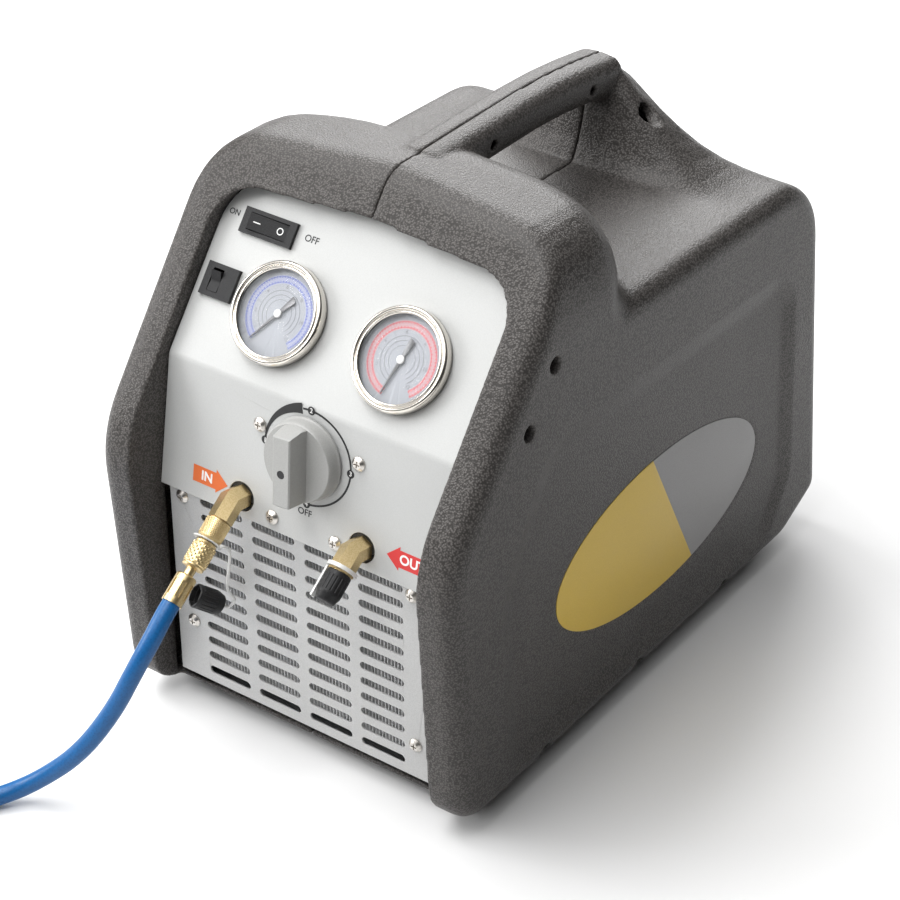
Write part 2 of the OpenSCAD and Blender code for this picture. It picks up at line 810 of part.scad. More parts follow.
module gauge(side, piece) {
    on_dials(gauge_at[side])
        if (piece == "gauge_case") gauge_case();
        else if (piece == "gauge_bezel") gauge_bezel();
        else if (piece == "gauge_dial") gauge_dial();
        else if (piece == "gauge_lens") gauge_lens();
        else gauge_needle(needle_rest[side]);
}

// Selector

knob_lift = 1.2;
knob_turn = 4.4;
grip_w = 12;
grip_foot = 14.2;
grip_r = 22.4;

// Finger grip across the knob: narrower at the top, its upper end sloped back
module knob_grip() {
    intersection() {
        translate([0, 0, knob_skirt - 0.5]) cylinder(r = grip_r, h = knob_t, $fn = 96);
        rotate([90, 0, 0]) linear_extrude(knob_d, center = true)
            polygon([[-grip_foot/2, 0], [grip_foot/2, 0], [grip_foot/2, knob_skirt],
                [grip_w/2, knob_t - 0.8], [grip_w/2 - 0.8, knob_t], [0.8 - grip_w/2, knob_t],
                [-grip_w/2, knob_t - 0.8], [-grip_foot/2, knob_skirt]]);
        spread_x(-grip_foot, grip_foot)
            polygon([[-grip_r, 0], [-grip_r, knob_t - 1], [1 - grip_r, knob_t], [grip_r - 4.2, knob_t],
                [grip_r - 3.2, knob_t - 0.8], [grip_r, knob_skirt], [grip_r, 0]]);
    }
}

module selector_knob() {
    r = knob_d/2;
    top = knob_skirt - knob_lift;
    color(knob_grey) on_knob_face(knob_at) rotate(knob_turn) difference() {
        union() {
            translate([0, 0, knob_lift])
                rotate_extrude($fn = 96) polygon([[0, 0], [r, 0], [r, 1.2], [r - 0.6, 1.8],
                    [r - 1.2, top - 0.8],
                    [r - 2, top], [0, top]]);
            knob_grip();
        }
        cylinder(d = spindle_d + 2*running, h = knob_t - 8);
        translate([0, -2.6, knob_t - 0.5]) cylinder(r = 2.5, h = 2);
    }
}

spindle_back = -26;

module selector_spindle() {
    color(steel) on_knob_face(knob_at, spindle_back)
        cylinder(d = spindle_d, h = knob_t - 8.2 - spindle_back);
}

// Valve block behind the knob, with a flange that carries both ports
manifold_t = 5;
manifold_back = -sheet - 0.1;

module valve_manifold() {
    color(steel) difference() {
        union() {
            on_knob_face([0, 0], manifold_back - manifold_t)
                translate([port_at[0].x - 10, 10.5, 0])
                    cube([port_at[1].x - port_at[0].x + 20, 62, manifold_t]);
            on_knob_face(knob_at, spindle_back - 10)
                translate([-24, -20, 0]) cube([48, 40, manifold_back - spindle_back + 8]);
        }
        on_knob_face(knob_at, spindle_back - 0.5) cylinder(d = spindle_d + 2*running, h = 40);
        for (p = port_at)
            on_knob_face(p, -40) cylinder(r = stub_r + running, h = 60);
        for (p = upper_screws)
            on_knob_face(p, -20) cylinder(r = screw_r + 0.1, h = 20);
    }
}

// Places its children on the slanted leg of a port's elbow, z along the leg
module on_leg(port, t = 0) {
    on_knob_face(port_at[port], elbow_out) rotate([elbow_bend, 0, 0]) translate([0, 0, t]) children();
}

module hexagon(from, to) {
    translate([0, 0, from]) rotate(30) cylinder(d = elbow_af/cos(30), h = to - from, $fn = 6);
}

module half_space() {
    translate([-20, -20, 0]) cube(40);
}

// Forged elbow: a hexagon out of the panel, mitred to a leg that points down, with a flare thread
module elbow(port) {
    miter = elbow_af*tan(elbow_bend/2);
    color(brass) {
        difference() {
            on_knob_face(port_at[port]) {
                hexagon(-1, elbow_out + miter);
                translate([0, 0, -22]) cylinder(r = stub_r, h = 22);
            }
            on_leg(port) rotate([-elbow_bend/2, 0, 0]) half_space();
        }
        difference() {
            on_leg(port) {
                hexagon(-miter, elbow_leg);
                cylinder(d = flare_d, h = flare_end);
            }
            on_leg(port) rotate([180 - elbow_bend/2, 0, 0]) half_space();
        }
    }
}

module inlet_elbow() {
    elbow(0);
}

module outlet_elbow() {
    elbow(1);
}

// Ribbed protective cap, open at z = 0
module port_cap() {
    ribs = 18;
    difference() {
        rotate_extrude() polygon([[0, 0], [cap_d/2 - 0.5, 0], [cap_d/2, 0.6], [cap_d/2, cap_l - 5],
            [cap_d/2 - 1.6, cap_l - 0.6], [cap_d/2 - 2.6, cap_l], [0, cap_l]]);
        translate([0, 0, -1]) cylinder(r = flare_d/2 + running, h = flare_l + 1.6);
        for (i = [0:ribs - 1])
            rotate(360*i/ribs) translate([cap_d/2 + 0.35, 0, 3]) cylinder(r = 0.7, h = cap_l - 9, $fn = 16);
    }
}

module outlet_cap() {
    color(black) on_leg(1, elbow_leg + gap) port_cap();
}

socket_af = 11.6;
strap_t = 1.2;
strap_r = cap_d/2 + gap + 0.4;

// Loose plastic loop: a ring round the elbow's leg and a strap beside the cap
module outlet_tether() {
    ring_r = elbow_af/2/cos(30) + 0.2;
    color([0.93, 0.93, 0.92]) on_leg(1, elbow_leg - 3) difference() {
        union() {
            cylinder(r = ring_r + 1.6, h = strap_t + 1);
            translate([-strap_r - strap_t, -2, 0]) cube([strap_t, 4, cap_l + 3]);
        }
        translate([0, 0, -1]) cylinder(r = ring_r, h = 5);
    }
}

// Mouth of the inlet cap that hangs in front of the grille, turned up and to the left
hung_cap = [-60, grille_y - 23, floor_z + 93.5];
hung_turn = [123, 0, 142];
// Direction from the hanging cap's mouth to its closed end
hung_out = [sin(hung_turn.x)*sin(hung_turn.z), -sin(hung_turn.x)*cos(hung_turn.z), cos(hung_turn.x)];

module inlet_cap() {
    color(black) translate(hung_cap) rotate([0, 0, hung_turn.z]) rotate([hung_turn.x, 0, 0]) difference() {
        port_cap();
        translate([0, 0, -1]) cylinder(d = socket_af/cos(30), h = 4, $fn = 6);
    }
}

tether_r = 1;
tether_route = [[-32.5, grille_y - 22, floor_z + 135.5], [-40, grille_y - 16, floor_z + 111],
    [-45.5, grille_y - 11, floor_z + 97], [-44, grille_y - 7, floor_z + 87.5]];
tether_wash = [4.9, 9];

// Clear plastic tether: a washer on the adapter's spigot and a strand down to the hanging cap
module inlet_tether() {
    at = adapter_end + 0.25;
    washer = port_point(port_at[0], elbow_out) + at*[0, -cos(leg_lean), -sin(leg_lean)];
    side = washer + [tether_wash[1] - 0.4, 0.6, -0.4];
    tail = hung_cap + (cap_l + 0.2)*hung_out;
    color([0.93, 0.93, 0.92]) {
        on_leg(0, at) difference() {
            cylinder(r = tether_wash[1], h = 0.5);
            translate([0, 0, -1]) cylinder(r = tether_wash[0], h = 3);
        }
        tube_along(spline(concat([side], tether_route, [tail + 4.5*hung_out, tail]), 3), tether_r, 8);
    }
}

// Hose and its fittings

// Straight-knurled adapter nut screwed on the inlet, with a spigot for the coupler
module hose_adapter() {
    knurls = 24;
    color(brass) on_leg(0, elbow_leg + gap) difference() {
        union() {
            cylinder(r = 7.4, h = adapter_l - 1.5);
            translate([0, 0, adapter_l - 1.5]) cylinder(r1 = 7.4, r2 = 6.2, h = 1.5);
            cylinder(r = 4.5, h = adapter_l + 14);
        }
        translate([0, 0, -1]) cylinder(r = flare_d/2 + running, h = flare_l + 1.3);
        for (i = [0:knurls - 1])
            rotate(360*i/knurls) translate([7.75, 0, 1]) cylinder(r = 0.7, h = adapter_l - 3, $fn = 16);
    }
}

// Knurled swivel nut of the hose
module hose_coupler() {
    color(brass) on_leg(0, coupler_start) difference() {
        rotate_extrude() polygon([[0, 0], [5.6, 0], [6.2, 0.8], [6.2, 1.6], [7.2, 2.4],
            [7.2, coupler_l - 2.4],
            [6.4, coupler_l - 1.6], [6.4, coupler_l - 0.6], [5.8, coupler_l], [0, coupler_l]]);
        translate([0, 0, -1]) cylinder(r = 4.5 + running, h = 14.6);
        cylinder(r = neck_r + running, h = coupler_l + 1);
    }
}

// Crimped ferrule with long flats and the tail that the coupler turns on
module hose_ferrule() {
    flats = 7;
    color(brass) on_leg(0, ferrule_start) difference() {
        union() {
            rotate_extrude() polygon([[0, 0], [5.4, 0], [6.2, 1], [6.2, ferrule_l], [0, ferrule_l]]);
            translate([0, 0, -neck_l - 3]) cylinder(r = neck_r, h = neck_l + 4);
        }
        for (i = [0:flats - 1])
            rotate(360*i/flats) translate([5.5, -1.3, 4]) cube([2, 2.6, ferrule_l - 8]);
    }
}

module hose_tube() {
    color(hose_blue) tube_along(hose_route, hose_d/2, 12);
}

// Outer shape of the coiled length: flat turns side by side, with the far end lifted on top of them
module hose_coil() {
    r = hose_d/2;
    color(hose_blue) translate([coil_at.x, coil_at.y, 0]) {
        rotate_extrude() polygon(outline([[coil_in - r, 0, r - 0.5, 4], [coil_in - r, hose_d, r - 0.5, 4],
            [coil_r + r, hose_d, r - 0.5, 4], [coil_r + r, 0, r - 0.5, 4]]));
        rotate(end_turn) rotate_extrude(angle = end_arc)
            translate([end_r, r + hose_d - 0.4]) circle(r = r);
    }
}

end_z = hose_d + 6.4;

// Places its children at the far end of the hose, z along the hose
module at_hose_end() {
    translate([coil_at.x, coil_at.y, end_z]) rotate(end_turn) translate([end_r, -0.6, 0])
        rotate([90, 0, 0]) children();
}

// Ferrule and knurled nut on the far end, lying on the coil
module hose_end_fitting() {
    nut_at = ferrule_l + neck_l;
    color(brass) at_hose_end() difference() {
        union() {
            cylinder(r = 6.2, h = ferrule_l);
            cylinder(r = neck_r, h = nut_at + 4);
            translate([0, 0, nut_at]) cylinder(r = 6.3, h = coupler_l);
        }
        translate([0, 0, nut_at + 5]) cylinder(d = flare_d + 2*running, h = coupler_l);
    }
}

tie_turn = 200;

// Tie round the coiled turns
module hose_tie() {
    w = coil_r - coil_in + hose_d;
    mid = (coil_r + coil_in)/2;
    color(black) translate([coil_at.x, coil_at.y, 0]) rotate(tie_turn) translate([mid, 0, 0])
        spread_y(-2.5, 2.5) difference() {
            translate([-w/2 - 1.8, 0]) square([w + 3.6, hose_d + 1.8]);
            translate([-w/2 - 0.4, -1]) square([w + 0.8, hose_d + 1.4]);
        }
}

// Condenser, fan and compressor

function tube_z(i) = (core_bottom + core_top)/2 + (i - (tube_rows - 1)/2)*tube_pitch;

module condenser_fins() {
    n = floor(2*(core_half - 2)/fin_pitch);
    color(steel)
        for (i = [0:n])
            spread_x((i - n/2)*fin_pitch - fin_t/2, (i - n/2)*fin_pitch + fin_t/2) difference() {
                translate([core_y, core_bottom]) square([core_t, core_top - core_bottom]);
                for (j = [0:tube_rows - 1])
                    translate([core_y + core_t/2, tube_z(j)]) circle(d = tube_d + 2*running);
            }
}

// Straight tubes joined by return bends
module condenser_tubes() {
    bend_x = core_half + 4;
    color(copper) {
        for (j = [0:tube_rows - 1])
            translate([0, core_y + core_t/2, tube_z(j)]) bar_x(tube_d/2, -bend_x, bend_x);
        for (j = [0:tube_rows - 2])
            translate([j % 2 == 0 ? -bend_x : bend_x, core_y + core_t/2, (tube_z(j) + tube_z(j + 1))/2])
                rotate([90, 0, 0]) rotate(j % 2 == 0 ? 90 : -90) rotate_extrude(angle = 180)
                    translate([tube_pitch/2, 0]) circle(d = tube_d);
    }
}

module condenser_end_plates() {
    color(steel)
        for (side = [-1, 1])
            translate([side*(core_half + plate_t/2), 0, 0]) spread_x(-plate_t/2, plate_t/2) difference() {
                translate([core_y - 1, deck_z]) square([core_t + 5, core_top + 2 - deck_z]);
                for (j = [0:tube_rows - 1])
                    translate([core_y + core_t/2, tube_z(j)]) circle(d = tube_d + 2*running);
            }
}

module fan_shroud() {
    color(black) spread_y(shroud_y, shroud_y + plate_t) difference() {
        translate([-core_half - plate_t, deck_z]) square([2*(core_half + plate_t), core_top + 2 - deck_z]);
        translate([0, axis_z]) circle(d = fan_d + 8);
    }
}

module fan() {
    blades = 5;
    hub_r = 17;
    color(black) translate([0, fan_y, axis_z]) rotate([-90, 0, 0]) difference() {
        union() {
            cylinder(r = hub_r, h = fan_t);
            for (i = [0:blades - 1])
                rotate(360*i/blades) translate([0, 0, fan_t/2]) rotate([28, 0, 0])
                    translate([hub_r - 4, -12, -0.8]) cube([fan_d/2 - hub_r + 2, 24, 1.6]);
        }
        translate([0, 0, -1]) cylinder(d = shaft_d + 2*running, h = fan_t + 2);
    }
}

shaft_in = 40;

module motor_shaft() {
    color(steel) translate([0, 0, axis_z]) bar_y(shaft_d/2, fan_y - 4, motor_y + shaft_in);
}

// Motor can with end bells and cooling ribs
module motor_body() {
    ribs = 16;
    color(steel) translate([0, 0, axis_z]) difference() {
        union() {
            bar_y(motor_d/2, motor_y + 14, motor_y + motor_l - 14);
            bar_y(motor_d/2 - 4, motor_y, motor_y + motor_l);
            bar_y(18, motor_y - 5, motor_y + 2);
        }
        bar_y(shaft_d/2 + running, motor_y - 6, motor_y + shaft_in + 0.5);
        for (i = [0:ribs - 1])
            rotate([0, 22.5*i + 11.25, 0])
                translate([motor_d/2 - 2, motor_y + 24, -2.5]) cube([4, motor_l - 48, 5]);
    }
}

module motor_cradle() {
    color(steel) difference() {
        block([-40, motor_y + 16, deck_z], [40, motor_y + motor_l - 16, axis_z - 22]);
        translate([0, 0, axis_z]) bar_y(motor_d/2 + 0.15, motor_y, motor_y + motor_l);
        block([-34, motor_y + 28, deck_z - 1], [34, motor_y + motor_l - 28, axis_z]);
    }
}

module crankcase() {
    color(steel) translate([0, 0, 0]) difference() {
        union() {
            translate([0, 0, axis_z]) bar_y(42, crank_y + 0.1, crank_y + crank_l);
            block([-34, crank_y + 2, axis_z], [34, crank_y + crank_l, crank_top]);
            block([-38, crank_y + 8, deck_z], [38, crank_y + crank_l - 8, axis_z - 26]);
        }
        translate([0, 0, axis_z]) bar_y(30, crank_y + crank_l - 4, crank_y + crank_l + 1);
    }
}

module compressor_cylinder() {
    color(steel) translate([0, bore_y, crank_top]) {
        cylinder(r = 25, h = cylinder_h);
        for (i = [0:5])
            translate([0, 0, 4 + i*8]) cylinder(r = 31, h = 2.5);
    }
}

module cylinder_head() {
    color(steel) translate([0, bore_y, crank_top + cylinder_h]) {
        translate([-32, -30, 0]) cube([64, 60, 14]);
        for (i = [0:6])
            translate([-30 + i*9, -28, 14]) cube([3, 56, 10]);
    }
}

capacitor_r = 20;

module capacitor() {
    color([0.85, 0.85, 0.83]) translate([base_x - 32.5, 0, deck_z + capacitor_r]) {
        bar_y(capacitor_r, 10, 86);
        bar_y(7, 6, 11);
    }
}

drier_r = 16;
drier_at = [32.5 - base_x, deck_z + drier_r];
drier_y = shroud_y + 92;
drier_l = 84;
drier_stub = 12;

module filter_drier() {
    color(brass) translate([drier_at.x, 0, drier_at.y]) {
        bar_y(drier_r, drier_y, drier_y + drier_l);
        bar_y(5, drier_y - drier_stub, drier_y + drier_l + drier_stub);
    }
}

pipe_r = 4;

function stub_end(port) = port_point(port_at[port], -22.2);

stub_way = [0, cos(knob_lean), -sin(knob_lean)];

// Bent pipe that leaves both of its ends straight
module bent_pipe(from, way_out, bends, way_in, to) {
    straight = 4;
    path = spline(concat([from + straight*way_out], bends, [to + straight*way_in]), 3);
    color(copper) tube_along(concat([from], path, [to]), pipe_r, 8);
}

module suction_pipe() {
    s = stub_end(0);
    bent_pipe(s, stub_way, [s + 12*stub_way, [s.x - 20, shroud_y + 20, s.z - 30],
        [drier_at.x, shroud_y + 44, drier_at.y + 40], [drier_at.x, shroud_y + 60, drier_at.y + 6]],
        [0, -1, 0], [drier_at.x, drier_y - drier_stub - 0.2, drier_at.y]);
}

module discharge_pipe() {
    z = crank_top + cylinder_h + 7;
    t = [-core_half - 4, core_y + core_t/2, tube_z(tube_rows - 1)];
    bent_pipe([-32.2, bore_y, z], [-1, 0, 0], [[-50, bore_y, z], [-80, bore_y - 50, z - 10],
        [13.5 - inner_half, shroud_y + 92, t.z + 20], [11.5 - inner_half, shroud_y + 22, t.z + 6],
        t + [-14, 6, 0]],
        [-1, 0, 0], t + [-0.2, 0, 0]);
}

module outlet_pipe() {
    s = stub_end(1);
    t = [core_half + 4, core_y + core_t/2, tube_z(0)];
    bent_pipe(s, stub_way, [s + 10*stub_way, [core_half + 2, shroud_y + 16, s.z - 20],
        [inner_half - 9.5, shroud_y + 14, s.z - 60], [inner_half - 7.5, shroud_y + 2, t.z + 30],
        t + [16, 4, 4]],
        [1, 0, 0], t + [0.2, 0, 0]);
}

case_left();
case_right();
case_screws();
base_plate();
rubber_feet();
foot_screws();
upper_panel();
grille_panel();
panel_screws();
rear_panel();
rear_panel_screws();
power_inlet();
power_switch_housing();
power_rocker();
breaker_housing();
breaker_rocker();
for (piece = GAUGES) {
    gauge(0, piece);
    gauge(1, piece);
}
selector_knob();
selector_spindle();
valve_manifold();
inlet_elbow();
outlet_elbow();
outlet_cap();
outlet_tether();
inlet_cap();
inlet_tether();
hose_adapter();
hose_coupler();
hose_ferrule();
hose_tube();
hose_coil();
hose_end_fitting();
hose_tie();
condenser_fins();
condenser_tubes();
condenser_end_plates();
fan_shroud();
fan();
motor_shaft();
motor_body();
motor_cradle();
crankcase();
compressor_cylinder();
cylinder_head();
capacitor();
filter_drier();
suction_pipe();
discharge_pipe();
outlet_pipe();
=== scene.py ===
"""Looks of a portable refrigerant recovery machine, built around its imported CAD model."""

import logging
import math
from dataclasses import dataclass
from enum import Enum
from typing import Optional, Sequence, Union

import bpy
from mathutils import Matrix, Vector


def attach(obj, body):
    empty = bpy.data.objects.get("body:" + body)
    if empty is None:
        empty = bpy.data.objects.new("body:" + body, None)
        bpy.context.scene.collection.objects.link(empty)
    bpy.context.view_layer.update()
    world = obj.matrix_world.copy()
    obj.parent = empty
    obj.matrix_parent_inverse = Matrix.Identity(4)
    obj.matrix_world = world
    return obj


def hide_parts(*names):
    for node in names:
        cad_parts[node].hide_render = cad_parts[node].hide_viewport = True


logging.basicConfig(level=logging.INFO, format="%(message)s")
log = logging.getLogger("scene")

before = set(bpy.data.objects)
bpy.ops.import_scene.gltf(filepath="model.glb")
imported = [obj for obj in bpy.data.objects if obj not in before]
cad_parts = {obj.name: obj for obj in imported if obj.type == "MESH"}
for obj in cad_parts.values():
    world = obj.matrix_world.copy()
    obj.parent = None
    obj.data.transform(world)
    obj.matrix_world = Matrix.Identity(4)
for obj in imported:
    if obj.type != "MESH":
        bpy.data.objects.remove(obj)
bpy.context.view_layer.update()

Piece = bpy.types.Object
Point2 = tuple[float, float]
Point3 = tuple[float, float, float]
Colour = tuple[float, float, float]

# Lengths are in millimetres and angles in degrees, unless a name or comment says otherwise
MM = 0.001
BODY = "machine"

# How pieces are cleaned, rounded and shaded
MERGE_M = 1e-5
FINE_MERGE_M = 1e-6
LEVEL_M = 1e-6
ROUND_DOWN = 0.001
EASE_STEPS = 2
EASE_ABOVE = 40.0
SMOOTH_BELOW = 32.0
ARC_STEPS = 40
CIRCLE_STEPS = 32
RING_STEPS = 60
TEXT_STEPS = 4
COAT_ROUGHNESS = 0.12
BUMP_SHARE = 0.25

# Thickness of prints, and their gaps from what they lie on
PRINT_THICK = 0.08
DIAL_PRINT = 0.06
TINT_THICK = 0.05
PAINT_GAP = 0.03
WORD_GAP = 0.09

# The ports on the panel
INLET_X = -41.5
PORT_UP = 12.5
PORT_PROUD = 9.0
LEG_TURN = 45.0


class Side(Enum):
    """Which of the two gauges is meant."""

    LEFT = "left"
    RIGHT = "right"


class Texture(Enum):
    """Relief that a finish shows close up."""

    NONE = 0
    PEBBLE = 1
    BRUSHED = 2
    FINE = 3


@dataclass(frozen=True)
class SlopedFace:
    """A flat face of the front panel that leans back from its foot, which is in metres."""

    foot_y: float
    foot_z: float
    lean: float

    def place(self, across: float, up: float, proud: float = 0.0, spin: float = 0.0) -> Matrix:
        """Gives the place of a point on the face.

        Args:
            across: distance to the right of the middle.
            up: distance up the face from its lower edge.
            proud: distance out of the face.
            spin: turn about the face's normal.

        Returns:
            A matrix whose Z axis is the face's normal.
        """
        tilt = Matrix.Rotation(math.radians(90 - self.lean), 4, "X")
        return (
            Matrix.Translation((0, self.foot_y, self.foot_z))
            @ tilt
            @ Matrix.Translation((across * MM, up * MM, proud * MM))
            @ Matrix.Rotation(math.radians(spin), 4, "Z")
        )


DIALS = SlopedFace(-0.157109, 0.23545, 38.2)
CONTROLS = SlopedFace(-0.1714, 0.1544, 10.0)


def leg_place(across: float, along: float) -> Matrix:
    """Gives a place on the slanted leg of a port's elbow.

    Args:
        across: distance from the middle of the machine to the port.
        along: distance down the leg from the elbow's corner.

    Returns:
        A matrix whose Z axis runs down the leg.
    """
    turn = Matrix.Rotation(math.radians(LEG_TURN), 4, "X")
    corner = CONTROLS.place(across, PORT_UP, PORT_PROUD)
    return corner @ turn @ Matrix.Translation((0, 0, along * MM))


class Bench:
    """Blender's operators, used on one piece at a time."""

    @staticmethod
    def clear() -> None:
        """Goes to object mode with nothing selected."""
        if bpy.context.mode != "OBJECT":
            bpy.ops.object.mode_set(mode="OBJECT")
        bpy.ops.object.select_all(action="DESELECT")

    @staticmethod
    def pick(piece: Piece) -> Piece:
        """Selects one piece alone.

        Args:
            piece: the piece to work on.

        Returns:
            The same piece.
        """
        Bench.clear()
        piece.select_set(True)
        bpy.context.view_layer.objects.active = piece
        return piece

    @staticmethod
    def settle(piece: Piece, place: Optional[Matrix] = None) -> Piece:
        """Moves a piece to its place and applies that to its mesh.

        Args:
            piece: the piece to place.
            place: where its own frame goes, or None to stay.

        Returns:
            The same piece, with its object at the origin.
        """
        Bench.pick(piece)
        if place is not None:
            piece.matrix_world = place @ piece.matrix_world
        bpy.ops.object.transform_apply(location=True, rotation=True, scale=True)
        return piece

    @staticmethod
    def tidy(piece: Piece, merge: float = MERGE_M, outside: bool = True) -> Piece:
        """Merges doubled points and turns the faces outwards.

        Args:
            piece: the piece to clean.
            merge: distance below which points are one, in metres.
            outside: whether the normals are worked out again.

        Returns:
            The same piece.
        """
        Bench.pick(piece)
        bpy.ops.object.mode_set(mode="EDIT")
        bpy.ops.mesh.select_all(action="SELECT")
        bpy.ops.mesh.remove_doubles(threshold=merge)
        if outside:
            bpy.ops.mesh.normals_make_consistent(inside=False)
        bpy.ops.object.mode_set(mode="OBJECT")
        return piece

    @staticmethod
    def smooth(piece: Piece, angle: float = SMOOTH_BELOW) -> Piece:
        """Shades a piece smooth.

        Args:
            piece: the piece to shade.
            angle: faces that meet below this angle are shaded as one.

        Returns:
            The same piece.
        """
        Bench.pick(piece)
        bpy.ops.object.shade_smooth_by_angle(angle=math.radians(angle))
        return piece

    @staticmethod
    def modify(piece: Piece, kind: str, **values: object) -> Piece:
        """Adds a modifier, sets it and applies it.

        Args:
            piece: the piece to change.
            kind: the modifier's type.
            **values: its settings.

        Returns:
            The same piece.
        """
        Bench.pick(piece)
        bpy.ops.object.modifier_add(type=kind)
        modifier = piece.modifiers[-1]
        for key, value in values.items():
            setattr(modifier, key, value)
        bpy.ops.object.modifier_apply(modifier=modifier.name)
        return piece

    @staticmethod
    def ease(piece: Piece, width: float) -> Piece:
        """Rounds the sharp edges of a piece.

        Args:
            piece: the piece to round.
            width: width of the rounding.

        Returns:
            The same piece.
        """
        return Bench.modify(
            piece, "BEVEL", width=width * MM, segments=EASE_STEPS, limit_method="ANGLE",
            angle_limit=math.radians(EASE_ABOVE), harden_normals=False,
        )

    @staticmethod
    def join(name: str, pieces: Sequence[Piece]) -> Piece:
        """Makes one piece of several.

        Args:
            name: name of the joined piece.
            pieces: what is joined.

        Returns:
            The joined piece.
        """
        Bench.clear()
        for piece in pieces:
            piece.select_set(True)
        bpy.context.view_layer.objects.active = pieces[0]
        if len(pieces) > 1:
            bpy.ops.object.join()
        pieces[0].name = name
        return pieces[0]

    @staticmethod
    def twin(node: str, name: str) -> Piece:
        """Copies a CAD node's shape into a new, merged piece.

        Args:
            node: the CAD node.
            name: the new piece's name.

        Returns:
            The new piece, which rides on nothing yet.
        """
        Bench.pick(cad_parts[node])
        bpy.ops.object.duplicate()
        piece = bpy.context.active_object
        piece.parent = None
        for key in [k for k in piece.keys() if k.startswith("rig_")]:
            del piece[key]
        piece.name = name
        piece.data.name = name
        piece.data.materials.clear()
        return Bench.tidy(piece, outside=False)

    @staticmethod
    def plate(name: str, outlines: Sequence[Sequence[Point2]], thick: float) -> Piece:
        """Makes a flat plate from closed outlines, standing on z = 0.

        Args:
            name: the piece's name.
            outlines: closed outlines; an inner one is a hole.
            thick: the plate's thickness.

        Returns:
            The plate as a mesh.
        """
        curve = bpy.data.curves.new(name, "CURVE")
        curve.dimensions = "2D"
        curve.fill_mode = "BOTH"
        curve.extrude = thick * MM / 2
        for outline in outlines:
            spline = curve.splines.new("POLY")
            spline.points.add(len(outline) - 1)
            for point, (x, y) in zip(spline.points, outline):
                point.co = (x * MM, y * MM, 0, 1)
            spline.use_cyclic_u = True
        piece = bpy.data.objects.new(name, curve)
        bpy.context.scene.collection.objects.link(piece)
        Bench.pick(piece)
        bpy.ops.object.convert(target="MESH")
        piece = bpy.context.active_object
        Bench.settle(piece, Matrix.Translation((0, 0, thick * MM / 2)))
        return Bench.tidy(piece, FINE_MERGE_M)

    @staticmethod
    def words(
        name: str, text: str, size: float, thick: float = PRINT_THICK, bold: float = 0.06
    ) -> Piece:
        """Makes printed characters as a mesh, centred on the origin.

        Args:
            name: the piece's name.
            text: the characters.
            size: their height setting.
            thick: thickness of the print.
            bold: how much each stroke is widened.

        Returns:
            The characters, standing on z = 0.
        """
        Bench.clear()
        bpy.ops.object.text_add()
        piece = bpy.context.active_object
        piece.name = name
        piece.data.body = text
        piece.data.align_x = "CENTER"
        piece.data.align_y = "CENTER"
        piece.data.size = size * MM
        piece.data.extrude = thick * MM / 2
        piece.data.offset = bold * MM
        piece.data.resolution_u = TEXT_STEPS
        bpy.ops.object.convert(target="MESH")
        piece = bpy.context.active_object
        return Bench.settle(piece, Matrix.Translation((0, 0, thick * MM / 2)))

    @staticmethod
    def lathe(name: str, profile: Sequence[Point2], steps: int = 64) -> Piece:
        """Turns a profile of radius and height about the Z axis.

        Args:
            name: the piece's name.
            profile: radius and height of each corner.
            steps: steps of the full turn.

        Returns:
            The turned piece.
        """
        Bench.clear()
        bpy.ops.mesh.primitive_plane_add(size=MM)
        piece = bpy.context.active_object
        piece.name = name
        bpy.ops.object.mode_set(mode="EDIT")
        bpy.ops.mesh.merge(type="CENTER")
        here = Vector((0, 0, 0))
        for index, (radius, height) in enumerate(profile):
            there = Vector((radius * MM, 0, height * MM))
            if index == 0:
                bpy.ops.transform.translate(value=there - here)
            else:
                move = {"value": there - here}
                bpy.ops.mesh.extrude_region_move(TRANSFORM_OT_translate=move)
            here = there
        bpy.ops.mesh.select_all(action="SELECT")
        bpy.ops.mesh.spin(steps=steps, angle=math.tau, center=(0, 0, 0), axis=(0, 0, 1))
        bpy.ops.object.mode_set(mode="OBJECT")
        return Bench.tidy(piece)

    @staticmethod
    def knurl(
        name: str, radius: float, depth: float, low: float, high: float, ribs: int, rows: int
    ) -> Piece:
        """Makes a band of raised diamonds round the Z axis.

        Args:
            name: the piece's name.
            radius: outside radius.
            depth: depth of the grooves.
            low: lower end of the band.
            high: upper end of the band.
            ribs: number of diamonds round it.
            rows: number of rows up it.

        Returns:
            The band, closed at both ends.
        """
        Bench.clear()
        bpy.ops.mesh.primitive_cylinder_add(
            vertices=2 * ribs, radius=radius * MM, depth=(high - low) * MM,
            location=(0, 0, (low + high) / 2 * MM), end_fill_type="NGON",
        )
        piece = Bench.settle(bpy.context.active_object)
        piece.name = name
        mesh = piece.data
        bpy.ops.object.mode_set(mode="EDIT")
        bpy.ops.mesh.select_mode(type="EDGE")
        bpy.ops.mesh.select_all(action="DESELECT")
        bpy.ops.object.mode_set(mode="OBJECT")
        for edge in mesh.edges:
            a, b = (mesh.vertices[i].co for i in edge.vertices)
            edge.select = abs(a.z - b.z) > LEVEL_M
        bpy.ops.object.mode_set(mode="EDIT")
        bpy.ops.mesh.subdivide(number_cuts=rows - 1)
        bpy.ops.mesh.select_mode(type="VERT")
        bpy.ops.object.mode_set(mode="OBJECT")
        step = (high - low) / rows
        for vertex in mesh.vertices:
            turn = round(math.atan2(vertex.co.y, vertex.co.x) / math.pi * ribs - ROUND_DOWN)
            row = round((vertex.co.z / MM - low) / step)
            vertex.select = (turn + row) % 2 == 1
        for item in list(mesh.edges) + list(mesh.polygons):
            item.select = False
        bpy.ops.object.mode_set(mode="EDIT")
        inward = (radius - depth) / radius
        bpy.ops.transform.resize(value=(inward, inward, 1), center_override=(0, 0, 0))
        bpy.ops.mesh.select_all(action="SELECT")
